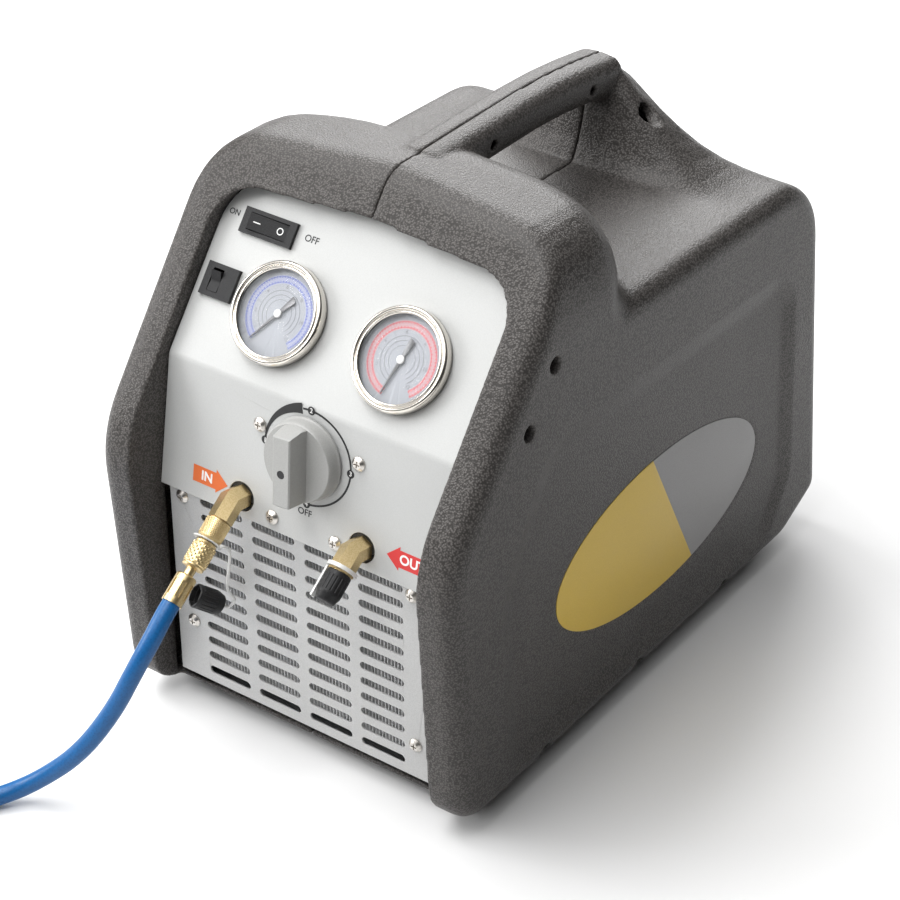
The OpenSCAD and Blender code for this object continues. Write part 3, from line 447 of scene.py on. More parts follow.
        bpy.ops.mesh.quads_convert_to_tris(quad_method="SHORTEST_DIAGONAL")
        bpy.ops.object.mode_set(mode="OBJECT")
        return piece


def set_sockets(node: bpy.types.Node, values: dict[Union[int, str], object]) -> None:
    """Sets inputs of a node, each found by its name or number."""
    for key, value in values.items():
        node.inputs[key].default_value = value


def add_node(
    tree: bpy.types.NodeTree, kind: str, values: Optional[dict] = None, **traits: object
) -> bpy.types.Node:
    """Adds a node to a shader tree.

    Args:
        tree: the tree or group.
        kind: the node's type, without the prefix ShaderNode.
        values: what its inputs are set to.
        **traits: its other settings.

    Returns:
        The new node.
    """
    node = tree.nodes.new(f"ShaderNode{kind}")
    for key, value in traits.items():
        setattr(node, key, value)
    set_sockets(node, values or {})
    return node


VECTOR, NUMBER, TINT = "NodeSocketVector", "NodeSocketFloat", "NodeSocketColor"
PLACE_IN = (("Vector", VECTOR), ("Scale", NUMBER))
TONES_IN = (("Tone", TINT), ("Second tone", TINT))
SPAN_IN = (("Low", NUMBER), ("High", NUMBER), ("Relief", NUMBER))
RELIEF_OUT = (("Height", NUMBER), ("Crease", NUMBER))
TONE_OUT = (("Color", TINT), ("Roughness", NUMBER))


class FinishShop:
    """Shared shader effects and the materials made with them."""

    def __init__(self) -> None:
        """Builds the shared node groups."""
        self.made: dict[str, bpy.types.Material] = {}
        self.pebble = self._pebble()
        self.brushed = self._brushed()
        self.tone_and_shade = self._tone_and_shade()

    @staticmethod
    def _group(
        name: str, inputs: Sequence[tuple[str, str]], outputs: Sequence[tuple[str, str]]
    ) -> tuple:
        """Starts a node group.

        Args:
            name: the group's name.
            inputs: name and socket type of each input.
            outputs: name and socket type of each output.

        Returns:
            The group, the sockets that feed it and the sockets that it feeds.
        """
        group = bpy.data.node_groups.new(name, "ShaderNodeTree")
        for way, sockets in (("INPUT", inputs), ("OUTPUT", outputs)):
            for label, kind in sockets:
                group.interface.new_socket(name=label, in_out=way, socket_type=kind)
        start = group.nodes.new("NodeGroupInput")
        end = group.nodes.new("NodeGroupOutput")
        return group, start.outputs, end.inputs

    def _pebble(self) -> bpy.types.NodeTree:
        """Builds moulded leather grain: rounded pebbles with fine creases between them.

        Returns:
            The node group.
        """
        group, start, end = self._group("pebble_grain", PLACE_IN, RELIEF_OUT)
        link = group.links.new
        cells = add_node(group, "TexVoronoi", {"Smoothness": 0.25}, feature="SMOOTH_F1")
        rough = add_node(group, "TexNoise", {"Detail": 2.0})
        for node in (cells, rough):
            for label in ("Vector", "Scale"):
                link(start[label], node.inputs[label])
        crease = add_node(
            group, "MapRange", {"From Min": 0.1, "From Max": 0.75}, interpolation_type="SMOOTHSTEP"
        )
        drop = add_node(group, "Math", {0: 1.0}, operation="SUBTRACT")
        dome = add_node(group, "Math", {1: 0.2}, operation="MULTIPLY_ADD")
        link(cells.outputs["Distance"], crease.inputs["Value"])
        link(crease.outputs["Result"], drop.inputs[1])
        link(rough.outputs["Fac"], dome.inputs[0])
        link(drop.outputs["Value"], dome.inputs[2])
        link(dome.outputs["Value"], end["Height"])
        # The crease mask also goes to the colour, where it paints shade into the creases between
        # pebbles.
        link(crease.outputs["Result"], end["Crease"])
        return group

    def _brushed(self) -> bpy.types.NodeTree:
        """Builds fine lines along X, as on rolled or turned metal.

        Returns:
            The node group.
        """
        group, start, end = self._group("brushed_lines", PLACE_IN, RELIEF_OUT)
        link = group.links.new
        stretch = add_node(group, "Mapping", {"Scale": (0.03, 1.0, 1.0)})
        noise = add_node(group, "TexNoise", {"Detail": 4.0})
        link(start["Vector"], stretch.inputs["Vector"])
        link(stretch.outputs["Vector"], noise.inputs["Vector"])
        link(start["Scale"], noise.inputs["Scale"])
        for label in ("Height", "Crease"):
            link(noise.outputs["Fac"], end[label])
        return group

    def _tone_and_shade(self) -> bpy.types.NodeTree:
        """Builds slow changes of tone and gloss, with a second tone in the relief's creases; on the
        case plastic that dark tone is painted shade.

        Returns:
            The node group.
        """
        group, start, end = self._group(
            "tone_and_crease_shade", PLACE_IN + TONES_IN + SPAN_IN, TONE_OUT
        )
        link = group.links.new
        noise = add_node(group, "TexNoise", {"Detail": 5.0, "Roughness": 0.6})
        faint = add_node(group, "Math", {1: 0.3}, operation="MULTIPLY")
        share = add_node(group, "Math", {1: 0.9}, operation="MULTIPLY_ADD", use_clamp=True)
        mix = add_node(group, "Mix", data_type="RGBA")
        span = add_node(group, "MapRange")
        for label in ("Vector", "Scale"):
            link(start[label], noise.inputs[label])
        link(noise.outputs["Fac"], faint.inputs[0])
        link(start["Relief"], share.inputs[0])
        link(faint.outputs["Value"], share.inputs[2])
        # The relief's creases pull the colour to the second tone: painted shade in the creases
        # where that tone is dark, as on the case plastic.
        link(share.outputs["Value"], mix.inputs["Factor"])
        link(start["Tone"], mix.inputs["A"])
        link(start["Second tone"], mix.inputs["B"])
        link(noise.outputs["Fac"], span.inputs["Value"])
        link(start["Low"], span.inputs["To Min"])
        link(start["High"], span.inputs["To Max"])
        link(mix.outputs["Result"], end["Color"])
        link(span.outputs["Result"], end["Roughness"])
        return group


@dataclass(frozen=True)
class Finish:
    """One surface finish of the machine: two tones, a span of roughness and a relief."""

    name: str
    tone: Colour
    second: Colour
    gloss: Point2 = (0.4, 0.55)
    metallic: float = 0.0
    texture: Texture = Texture.NONE
    scale: float = 800.0
    relief: float = 0.0
    cloud: float = 18.0
    coat: float = 0.0
    clear: float = 0.0
    shine: float = 0.5

    def material(self, shop: FinishShop) -> bpy.types.Material:
        """Builds the finish as a material, once.

        Args:
            shop: the shared effects.

        Returns:
            The material.
        """
        if self.name in shop.made:
            return shop.made[self.name]
        material = bpy.data.materials.new(self.name)
        material.use_nodes = True
        material.diffuse_color = (*self.tone, 1.0)
        tree = material.node_tree
        link = tree.links.new
        shader = tree.nodes["Principled BSDF"]
        set_sockets(shader, {
            "Metallic": self.metallic, "Specular IOR Level": self.shine,
            "Coat Weight": self.coat, "Coat Roughness": COAT_ROUGHNESS,
        })
        where = add_node(tree, "TexCoord").outputs["Object"]
        tone = add_node(tree, "Group", {
            "Tone": (*self.tone, 1.0), "Second tone": (*self.second, 1.0),
            "Scale": self.cloud, "Low": self.gloss[0], "High": self.gloss[1],
        }, node_tree=shop.tone_and_shade)
        link(where, tone.inputs["Vector"])
        link(tone.outputs["Color"], shader.inputs["Base Color"])
        link(tone.outputs["Roughness"], shader.inputs["Roughness"])
        if self.texture is not Texture.NONE:
            effect = shop.brushed if self.texture is Texture.BRUSHED else shop.pebble
            relief = add_node(tree, "Group", {"Scale": self.scale}, node_tree=effect)
            depth = {"Strength": self.relief, "Distance": BUMP_SHARE / self.scale}
            bump = add_node(tree, "Bump", depth)
            link(where, relief.inputs["Vector"])
            link(relief.outputs["Height"], bump.inputs["Height"])
            # The grain's creases choose the second tone; on the case plastic this paints shade into
            # the creases.
            link(relief.outputs["Crease"], tone.inputs["Relief"])
            link(bump.outputs["Normal"], shader.inputs["Normal"])
        if self.clear:
            set_sockets(shader, {"Alpha": 1.0 - self.clear})
        shop.made[self.name] = material
        return material


def fine(
    name: str, tone: Colour, second: Colour, gloss: Point2, scale: float, relief: float,
    cloud: float, metallic: float = 0.0, **more: float,
) -> Finish:
    """Gives a finish with a fine grain; the arguments are those of Finish."""
    return Finish(name, tone, second, gloss, metallic, Texture.FINE, scale, relief, cloud, **more)


def ink(name: str, tone: Colour, second: Colour) -> Finish:
    """Gives a flat printed finish; the arguments are those of Finish."""
    return Finish(name, tone, second, (0.5, 0.6), cloud=80)


# Case plastic: the dark second tone is painted shade in the grain's creases, so the pebbles show
# under even light; the first tone is the plastic's colour.
CASE_TOP = Finish(
    "case_plastic", (0.126, 0.117, 0.111), (0.038, 0.035, 0.033), (0.34, 0.42),
    texture=Texture.PEBBLE, scale=880, relief=0.55, cloud=9, shine=0.22,
)
PANEL_PAINT = fine(
    "panel_paint", (0.445, 0.45, 0.443), (0.48, 0.485, 0.478), (0.36, 0.48), 1500, 0.04, 6
)
SHEET_METAL = fine(
    "grille_metal", (0.425, 0.425, 0.42), (0.495, 0.495, 0.49), (0.4, 0.55), 1400, 0.12, 30, 0.25
)
BLACK = fine(
    "black_plastic", (0.01, 0.01, 0.0105), (0.02, 0.02, 0.021), (0.36, 0.5), 1600, 0.12, 40,
    shine=0.22,
)
RUBBER = fine(
    "rubber", (0.015, 0.015, 0.015), (0.03, 0.03, 0.03), (0.6, 0.8), 900, 0.2, 60
)
KNOB = fine(
    "knob_plastic", (0.30, 0.30, 0.29), (0.34, 0.34, 0.33), (0.36, 0.46), 1500, 0.08, 30
)
HOSE = fine(
    "hose_rubber", (0.003, 0.075, 0.23), (0.005, 0.1, 0.29), (0.32, 0.46), 700, 0.08, 45,
    coat=0.05, shine=0.35,
)
YELLOW = fine(
    "yellow_plate", (0.62, 0.42, 0.045), (0.67, 0.46, 0.06), (0.35, 0.5), 1300, 0.08, 20
)
GREY_PLATE = fine(
    "grey_plate", (0.25, 0.245, 0.245), (0.29, 0.285, 0.285), (0.4, 0.55), 1300, 0.08, 20
)
BRASS = fine("brass", (0.6, 0.45, 0.21), (0.71, 0.56, 0.31), (0.3, 0.42), 1200, 0.06, 70, 1.0)
COPPER = fine("copper", (0.55, 0.25, 0.13), (0.68, 0.36, 0.2), (0.3, 0.5), 700, 0.06, 50, 1.0)
ALUMINIUM = fine(
    "aluminium", (0.5, 0.505, 0.51), (0.6, 0.605, 0.61), (0.36, 0.52), 900, 0.15, 40, 1.0
)
# Near-black finish for the valve manifold: painted shade where the manifold shows through the port
# hole.
MANIFOLD_SHADE = fine("manifold_painted_shade", (0.03, 0.03, 0.031), (0.05, 0.05, 0.051), (0.5, 0.65), 900, 0.15, 40, 0.5)
STEEL = Finish(
    "steel", (0.36, 0.365, 0.37), (0.46, 0.465, 0.47), (0.32, 0.48), 1.0,
    Texture.BRUSHED, 900, 0.1, 40,
)
FINS = Finish(
    "fin_stock", (0.72, 0.72, 0.725), (0.82, 0.82, 0.825), (0.4, 0.52), 0.3,
    Texture.BRUSHED, 700, 0.1, 60,
)
NICKEL = Finish("nickel", (0.72, 0.68, 0.62), (0.82, 0.79, 0.74), (0.1, 0.2), 1.0, cloud=60)
SCREW = Finish("screw_nickel", (0.62, 0.59, 0.55), (0.72, 0.69, 0.65), (0.24, 0.36), 1.0, cloud=60)
GLASS = Finish("glass", (0.9, 0.92, 0.93), (0.93, 0.94, 0.95), (0.02, 0.05), clear=0.96)
STRAP = Finish(
    "clear_plastic", (0.72, 0.72, 0.70), (0.8, 0.8, 0.79), (0.25, 0.4),
    coat=0.3, clear=0.2, cloud=60,
)
DIAL = Finish("dial_paint", (0.315, 0.33, 0.36), (0.35, 0.365, 0.395), (0.5, 0.6), cloud=50)
NEEDLE = Finish("needle_paint", (0.22, 0.22, 0.23), (0.28, 0.28, 0.29), (0.4, 0.5), 0.3, cloud=80)
ORANGE = Finish("orange_print", (0.66, 0.13, 0.02), (0.72, 0.16, 0.03), (0.45, 0.6), cloud=60)
RED = Finish("red_print", (0.58, 0.03, 0.03), (0.64, 0.05, 0.04), (0.45, 0.6), cloud=60)
FLOOR = Finish("studio_floor", (0.77, 0.77, 0.77), (0.79, 0.79, 0.79), (0.7, 0.8), cloud=1)
PRINT = ink("black_print", (0.012, 0.012, 0.013), (0.02, 0.02, 0.021))
WHITE_PRINT = ink("white_print", (0.8, 0.8, 0.79), (0.85, 0.85, 0.84))
BLUE_TINT = ink("blue_tint", (0.32, 0.34, 0.47), (0.35, 0.37, 0.5))
PINK_TINT = ink("pink_tint", (0.48, 0.29, 0.31), (0.51, 0.32, 0.34))
BLUE_SCALE = ink("blue_scale", (0.1, 0.13, 0.4), (0.14, 0.17, 0.45))
PINK_SCALE = ink("pink_scale", (0.58, 0.09, 0.11), (0.64, 0.13, 0.15))
GREY_SCALE = ink("grey_scale", (0.2, 0.205, 0.23), (0.24, 0.245, 0.27))


class Dresser:
    """Gives pieces their finish and body."""

    def __init__(self, shop: FinishShop) -> None:
        """Keeps the shop that makes the materials."""
        self.shop = shop

    def paint(self, piece: Piece, finish: Finish) -> Piece:
        """Puts one finish all over a piece.

        Args:
            piece: the piece to paint.
            finish: its finish.

        Returns:
            The same piece.
        """
        piece.data.materials.clear()
        piece.data.materials.append(finish.material(self.shop))
        return piece

    def fit(
        self, piece: Piece, finish: Finish, body: str = BODY,
        replaces: Sequence[str] = (),
    ) -> Piece:
        """Finishes a new piece and hangs it on its body.

        Args:
            piece: the new piece.
            finish: its finish.
            body: the body it moves with.
            replaces: CAD nodes that it stands for.

        Returns:
            The same piece.
        """
        self.paint(piece, finish)
        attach(piece, body)
        if replaces:
            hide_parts(*replaces)
        log.info("%s: %d faces on %s", piece.name, len(piece.data.polygons), body)
        return piece

    def lay(
        self, piece: Piece, place: Matrix, finish: Finish, body: str = BODY
    ) -> Piece:
        """Puts a small new piece, such as a print, in its place and fits it.

        Args:
            piece: the new piece, at the origin.
            place: where it goes.
            finish: its finish.
            body: the body it moves with.

        Returns:
            The same piece.
        """
        return self.fit(Bench.settle(piece, place), finish, body)

    def dress(
        self, node: str, finish: Finish, body: str = BODY, ease: float = 0.0,
        angle: float = SMOOTH_BELOW,
    ) -> Piece:
        """Replaces a CAD node by a smooth copy with eased edges.

        Args:
            node: the CAD node.
            finish: its finish.
            body: the body it moves with.
            ease: rounding of its sharp edges.
            angle: edges below this angle are shaded smooth.

        Returns:
            The new piece.
        """
        piece = Bench.twin(node, f"{node}_skin")
        if ease:
            Bench.ease(piece, ease)
        Bench.smooth(piece, angle)
        if ease:
            Bench.modify(piece, "WEIGHTED_NORMAL", keep_sharp=True)
        return self.fit(piece, finish, body, [node])


def circle(radius: float) -> list[Point2]:
    """Gives the closed outline of a circle."""
    turns = (math.tau * i / CIRCLE_STEPS for i in range(CIRCLE_STEPS))
    return [(radius * math.cos(t), radius * math.sin(t)) for t in turns]


def arc_band(inner: float, outer: float, start: float, stop: float) -> list[Point2]:
    """Gives the outline of a band along an arc.

    Args:
        inner: inner radius.
        outer: outer radius.
        start: first angle.
        stop: last angle.

    Returns:
        The closed outline.
    """
    steps = range(ARC_STEPS + 1)
    angles = [math.radians(start + (stop - start) * i / ARC_STEPS) for i in steps]
    out = [(outer * math.cos(a), outer * math.sin(a)) for a in angles]
    back = [(inner * math.cos(a), inner * math.sin(a)) for a in reversed(angles)]
    return out + back


@dataclass(frozen=True)
class Lamp:
    """A soft square light, in metres and watts."""

    name: str
    place: Point3
    aim: Point3
    size: float
    power: float

    def hang(self) -> None:
        """Hangs the light at its place, facing its aim."""
        data = bpy.data.lights.new(self.name, "AREA")
        data.size = self.size
        data.energy = self.power
        light = bpy.data.objects.new(self.name, data)
        light.location = self.place
        ray = Vector(self.aim) - Vector(self.place)
        light.rotation_euler = ray.to_track_quat("-Z", "Y").to_euler()
        bpy.context.scene.collection.objects.link(light)


LAMPS = (
    Lamp("front_top", (-0.35, -1.2, 2.5), (0, -0.1, 0.2), 1.4, 38),
    Lamp("high_left", (-1.05, -0.15, 2.3), (0, 0, 0.25), 1.3, 34),
    Lamp("back_soft", (-1.05, 1.65, 1.3), (0, 0.1, 0.28), 1.4, 44),
    Lamp("side_left", (-1.9, -1.15, 1.0), (0, -0.1, 0.25), 1.1, 34),
)


@dataclass
class Studio:
    """Camera, floor and lights; places are in metres."""

    eye: Point3 = (0.7976, -1.1235, 1.0381)
    azimuth: float = 36.0
    elevation: float = 33.588
    roll: float = -0.124
    lens: float = 108.76
    sensor: float = 36.0
    clip: float = 30.0
    floor_side: float = 14.0
    floor_z: float = -0.0002
    backdrop: float = 0.72
    glow: Point2 = (0.02, 0.1)
    glow_top: float = 0.9
    ceiling_power: float = 1.6
    ceiling_spread: float = 100.0
    ceiling_lean: Point2 = (10.0, -16.0)

    def camera(self) -> None:
        """Sets the camera at the photograph's place and angle."""
        az, el, roll = (math.radians(a) for a in (self.azimuth, self.elevation, self.roll))
        ahead = Vector((-math.sin(az) * math.cos(el), math.cos(az) * math.cos(el), -math.sin(el)))
        flat = Vector((math.cos(az), math.sin(az), 0))
        rise = flat.cross(ahead)
        right = math.cos(roll) * flat + math.sin(roll) * rise
        up = math.cos(roll) * rise - math.sin(roll) * flat
        turn = Matrix((right, up, -ahead)).transposed().to_4x4()
        data = bpy.data.cameras.new("camera")
        data.lens = self.lens
        data.sensor_width = self.sensor
        data.clip_end = self.clip
        camera = bpy.data.objects.new("camera", data)
        camera.matrix_world = Matrix.Translation(self.eye) @ turn
        bpy.context.scene.collection.objects.link(camera)
        bpy.context.scene.camera = camera

    def floor(self, dresser: Dresser) -> None:
        """Lays a plain, flat, pale floor under the machine.

        Args:
            dresser: paints the floor.
        """
        Bench.clear()
        bpy.ops.mesh.primitive_plane_add(size=self.floor_side, location=(0, 0, self.floor_z))
        floor = Bench.settle(bpy.context.active_object)
        floor.name = "studio_floor"
        dresser.paint(floor, FLOOR)

    def world(self) -> None:
        """Makes a pale backdrop for the camera and a faint glow from above for the machine."""
        world = bpy.data.worlds.new("studio")
        bpy.context.scene.world = world
        world.use_nodes = True
        tree = world.node_tree
        link = tree.links.new
        sky = tree.nodes["Background"]
        set_sockets(sky, {"Color": (1.0, 1.0, 1.0, 1.0)})
        where = add_node(tree, "TexCoord").outputs["Generated"]
        split = add_node(tree, "SeparateXYZ")
        ramp = add_node(tree, "MapRange", {
            "From Min": 0.0, "From Max": self.glow_top,
            "To Min": self.glow[0], "To Max": self.glow[1],
        })
        level = add_node(tree, "Math", {1: self.backdrop}, operation="MULTIPLY_ADD")
        link(where, split.inputs["Vector"])
        link(split.outputs["Z"], ramp.inputs["Value"])
        link(add_node(tree, "LightPath").outputs["Is Camera Ray"], level.inputs[0])
        link(ramp.outputs["Result"], level.inputs[2])
        link(level.outputs["Value"], sky.inputs["Strength"])

    def lights(self) -> None:
        """Lights the machine softly from above, in front, behind and the left."""
        self.world()
        ceiling = bpy.data.objects.new("ceiling", bpy.data.lights.new("ceiling", "SUN"))
        ceiling.data.energy = self.ceiling_power
        ceiling.data.angle = math.radians(self.ceiling_spread)
        ceiling.rotation_euler = (*(math.radians(a) for a in self.ceiling_lean), 0)
        bpy.context.scene.collection.objects.link(ceiling)
        for lamp in LAMPS:
            lamp.hang()
        bpy.context.scene.view_settings.view_transform = "Standard"


@dataclass
class HoseRun:
    """The charging hose, from its ferrule to the coil on the floor."""

    diameter: float = 11.0
    leaves: float = 66.9
    route: Sequence[Point3] = (
        (-41.5, -241, 124), (-42, -249, 116), (-44.5, -257, 105), (-48.5, -263.5, 92),
        (-54, -269, 77), (-61, -275, 62), (-69, -281, 48), (-78, -286.5, 36), (-88, -291, 25.5),
        (-98, -296, 16.5), (-107, -302, 10), (-115, -311, 6.6), (-121.5, -322, 5.5),
        (-125, -334, 5.5),
    )
    coil: Point2 = (-206.0, -346.0)
    outer_turn: float = 80.0
    turns: float = 2.85
    coil_step: int = 10
    climb: float = 80.0
    steps: int = 4
    sides: int = 5
    tie_turn: float = 200.0
    tie_wide: float = 5.0
    tie_thick: float = 1.2
    tie_clear: float = 0.1
    tie_steps: int = 10
    tied: int = 3

    def start(self) -> Vector:
        """Gives the point where the hose leaves its ferrule, in metres."""
        return leg_place(INLET_X, self.leaves).to_translation()

    def path(self) -> list[Vector]:
        """Gives the way of the hose's middle line, in metres.

        Returns:
            Points down from the ferrule, along the floor and round the coil.
        """
        points = [self.start() / MM] + [Vector(p) for p in self.route]
        total = int(self.turns * 360)
        for degrees in range(0, total + 1, self.coil_step):
            radius = self.outer_turn - self.diameter * degrees / 360
            lift = 90 * max(0.0, min(1.0, (degrees - total + self.climb) / self.climb))
            lift = math.radians(lift)
            radius += self.diameter * (1 - math.cos(lift))
            angle = math.radians(-degrees)
            points.append(Vector((
                self.coil[0] + radius * math.cos(angle),
                self.coil[1] + radius * math.sin(angle),
                self.diameter / 2 + self.diameter * math.sin(lift),
            )))
        return [p * MM for p in points]

    def rounded(self) -> list[Vector]:
        """Runs a smooth curve through the path, in metres.

        Returns:
            Closer points on the same way.
        """
        points = self.path()
        last = len(points) - 1
        fine_points = []
        for i in range(last):
            a, b, c, d = points[max(0, i - 1)], points[i], points[i + 1], points[min(last, i + 2)]
            for k in range(self.steps):
                t = k / self.steps
                fine_points.append(0.5 * (
                    2 * b + (c - a) * t + (2 * a - 5 * b + 4 * c - d) * t ** 2
                    + (3 * b - a - 3 * c + d) * t ** 3
                ))
        return fine_points + [points[last]]

    def tie_edge(self, clear: float) -> list[Point2]:
        """Gives a line over the tied turns, from the floor outside them to the floor inside.

        Args:
            clear: distance between the line and the hose.

        Returns:
            Points of distance from the coil's middle and height.
        """
        half = self.diameter / 2
        far = self.outer_turn - self.diameter * (360 - self.tie_turn) / 360
        near = far - self.diameter * (self.tied - 1)
        reach = half + clear
        steps = range(self.tie_steps + 1)
        turns = [math.radians(90 * i / self.tie_steps) for i in steps]
        outside = [(far + reach * math.cos(t), half + reach * math.sin(t)) for t in turns]
        inside = [(near - reach * math.cos(t), half + reach * math.sin(t)) for t in reversed(turns)]
        return [(far + reach, 0.0)] + outside + inside + [(near - reach, 0.0)]

    def tie(self, dresser: Dresser) -> Piece:
        """Makes the band that holds the turns of the coil together.

        Args:
            dresser: finishes the band.

        Returns:
            The band.
        """
        over = self.tie_edge(self.tie_clear + self.tie_thick)
        outline = over + self.tie_edge(self.tie_clear)[::-1]
        place = (
            Matrix.Translation((self.coil[0] * MM, self.coil[1] * MM, 0))
            @ Matrix.Rotation(math.radians(self.tie_turn), 4, "Z")
            @ Matrix.Translation((0, self.tie_wide / 2 * MM, 0))
            @ Matrix.Rotation(math.radians(90), 4, "X")
        )
        band = Bench.settle(Bench.plate("hose_tie_skin", [outline], self.tie_wide), place)
        band = Bench.smooth(Bench.ease(band, 0.3))
        return dresser.fit(band, BLACK, BODY, ["hose_tie"])

    def build(self, dresser: Dresser) -> None:
        """Args:
            dresser: finishes the pieces.
        """
        path = self.rounded()
        curve = bpy.data.curves.new("charging_hose", "CURVE")
        curve.dimensions = "3D"
        curve.bevel_depth = self.diameter / 2 * MM
        curve.bevel_resolution = self.sides
        curve.use_fill_caps = True
        spline = curve.splines.new("POLY")
        spline.points.add(len(path) - 1)
        for point, place in zip(spline.points, path):
            point.co = (*place, 1)
        spline.use_smooth = True
        hose = bpy.data.objects.new("charging_hose", curve)
        bpy.context.scene.collection.objects.link(hose)
        hose.data.materials.append(HOSE.material(dresser.shop))
        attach(hose, BODY)
        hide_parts("hose_tube", "hose_coil")
        end = dresser.dress("hose_end_fitting", BRASS, ease=0.3)
        tie = self.tie(dresser)
        tuple(self.start())


@dataclass
class CaseShell:
    """The two moulded halves, with soft edges."""

    cell: float = 1.25
    passes: int = 11
    pull: float = 0.5
    kept: float = 0.25
    smooth_below: float = 60.0

    def half(self, node: str, dresser: Dresser) -> None:
        """Makes one half from the CAD shell, its edges softened.

        Args:
            node: the CAD half.
            dresser: gives it its finish.
        """
        piece = Bench.twin(node, f"{node}_moulding")
        cell = self.cell * MM
        Bench.modify(piece, "REMESH", mode="VOXEL", voxel_size=cell, use_smooth_shade=True)
        Bench.modify(piece, "SMOOTH", factor=self.pull, iterations=self.passes)
        Bench.modify(piece, "DECIMATE", ratio=self.kept)
        Bench.smooth(piece, self.smooth_below)
        dresser.fit(piece, CASE_TOP, BODY, [node])

    def build(self, dresser: Dresser) -> None:
        """Makes both halves and their screws.

        Args:
            dresser: finishes the pieces.
        """
        for node in ("case_left", "case_right"):
            self.half(node, dresser)
        dresser.dress("case_screws", STEEL, ease=0.3)


@dataclass
class SidePlate:
    """Plain two-tone oval plate in the right side."""

    centre: Point2 = (19.0, 109.0)
    half_axes: Point2 = (110.2, 49.4)
    tilt: float = -2.0
    seat_x: float = 121.15
    thick: float = 0.7
    split: Point2 = (96.8, 291.8)
    steps: int = 60

    def build(self, dresser: Dresser) -> None:
        """Makes the front and rear fields of the plate.

        Args:
            dresser: finishes the pieces.
        """
        place = Matrix((
            (0, 0, 1, self.seat_x * MM),
            (1, 0, 0, self.centre[0] * MM),
            (0, 1, 0, self.centre[1] * MM),
            (0, 0, 0, 1),
        ))
        place = place @ Matrix.Rotation(math.radians(self.tilt), 4, "Z")
        low, high = self.split
        fields = (
            ("oval_plate_front", low, high, YELLOW),
            ("oval_plate_rear", high - 360, low, GREY_PLATE),
        )
        a, b = self.half_axes
        for name, start, stop, finish in fields:
            turns = [
                math.radians(start + (stop - start) * i / self.steps)
                for i in range(self.steps + 1)
            ]
            outline = [(a * math.cos(t), b * math.sin(t)) for t in turns]
            piece = Bench.settle(Bench.plate(name, [outline], self.thick), place)
            dresser.fit(Bench.smooth(Bench.ease(piece, 0.2)), finish)


@dataclass
class FrontPanels:
    """Painted upper panel, grille and their printed marks."""

    arrows: Sequence[tuple[str, str, Point2, float, Finish, bool]] = (
        ("inlet_arrow", "IN", (-64.4, 15.2), 25.4, ORANGE, False),
        ("outlet_arrow", "OUT", (76.1, 15.7), 30.0, RED, True),
    )
    labels: Sequence[tuple[str, str, float, SlopedFace, Point2]] = (
        ("power_on", "ON", 4.8, DIALS, (-92.6, 86.9)),
        ("power_off", "OFF", 5.6, DIALS, (-37.5, 86.8)),
        ("selector_off", "OFF", 5.6, CONTROLS, (3.6, 19.4)),
    )
    arrow_half: float = 5.2
    arrow_head: float = 8.6
    arrow_barb: float = 1.4
    word_size: float = 8.2
    word_bold: float = 0.22
    word_shift: float = 2.5

    def arrow(
        self, name: str, text: str, place: Matrix, length: float, finish: Finish, back: bool,
        dresser: Dresser,
    ) -> None:
        """Prints an arrow with a word in it.

        Args:
            name: the piece's name.
            text: the word.
            place: the arrow's middle.
            length: its length.
            finish: its colour.
            back: whether it points left.
            dresser: finishes the pieces.
        """
        h, tail, head = self.arrow_half, length / 2, length / 2 - self.arrow_head
        barb = h * self.arrow_barb
        outline = [
            (-tail, -h), (head, -h), (head, -barb), (tail, 0), (head, barb), (head, h), (-tail, h)
        ]
        shift = -self.word_shift
        if back:
            outline = [(-x, y) for x, y in reversed(outline)]
            shift = self.word_shift
        dresser.lay(Bench.plate(name, [outline], PRINT_THICK), place, finish)
        word = Bench.words(f"{name}_word", text, self.word_size, bold=self.word_bold)
        place = place @ Matrix.Translation((shift * MM, 0, WORD_GAP * MM))
        dresser.lay(word, place, WHITE_PRINT)

    def build(self, dresser: Dresser) -> None:
        """Dresses the panels and prints their marks.

        Args:
            dresser: finishes the pieces.
        """
        dresser.dress("upper_panel", PANEL_PAINT, ease=0.25)
        dresser.dress("grille_panel", SHEET_METAL, ease=0.2)
        dresser.dress("panel_screws", SCREW, ease=0.25)
        for name, text, at, length, finish, back in self.arrows:
            place = CONTROLS.place(*at, PAINT_GAP)
            self.arrow(name, text, place, length, finish, back, dresser)
        for name, text, size, face, at in self.labels:
            place = face.place(*at, PAINT_GAP)
            dresser.lay(Bench.words(name, text, size), place, PRINT)


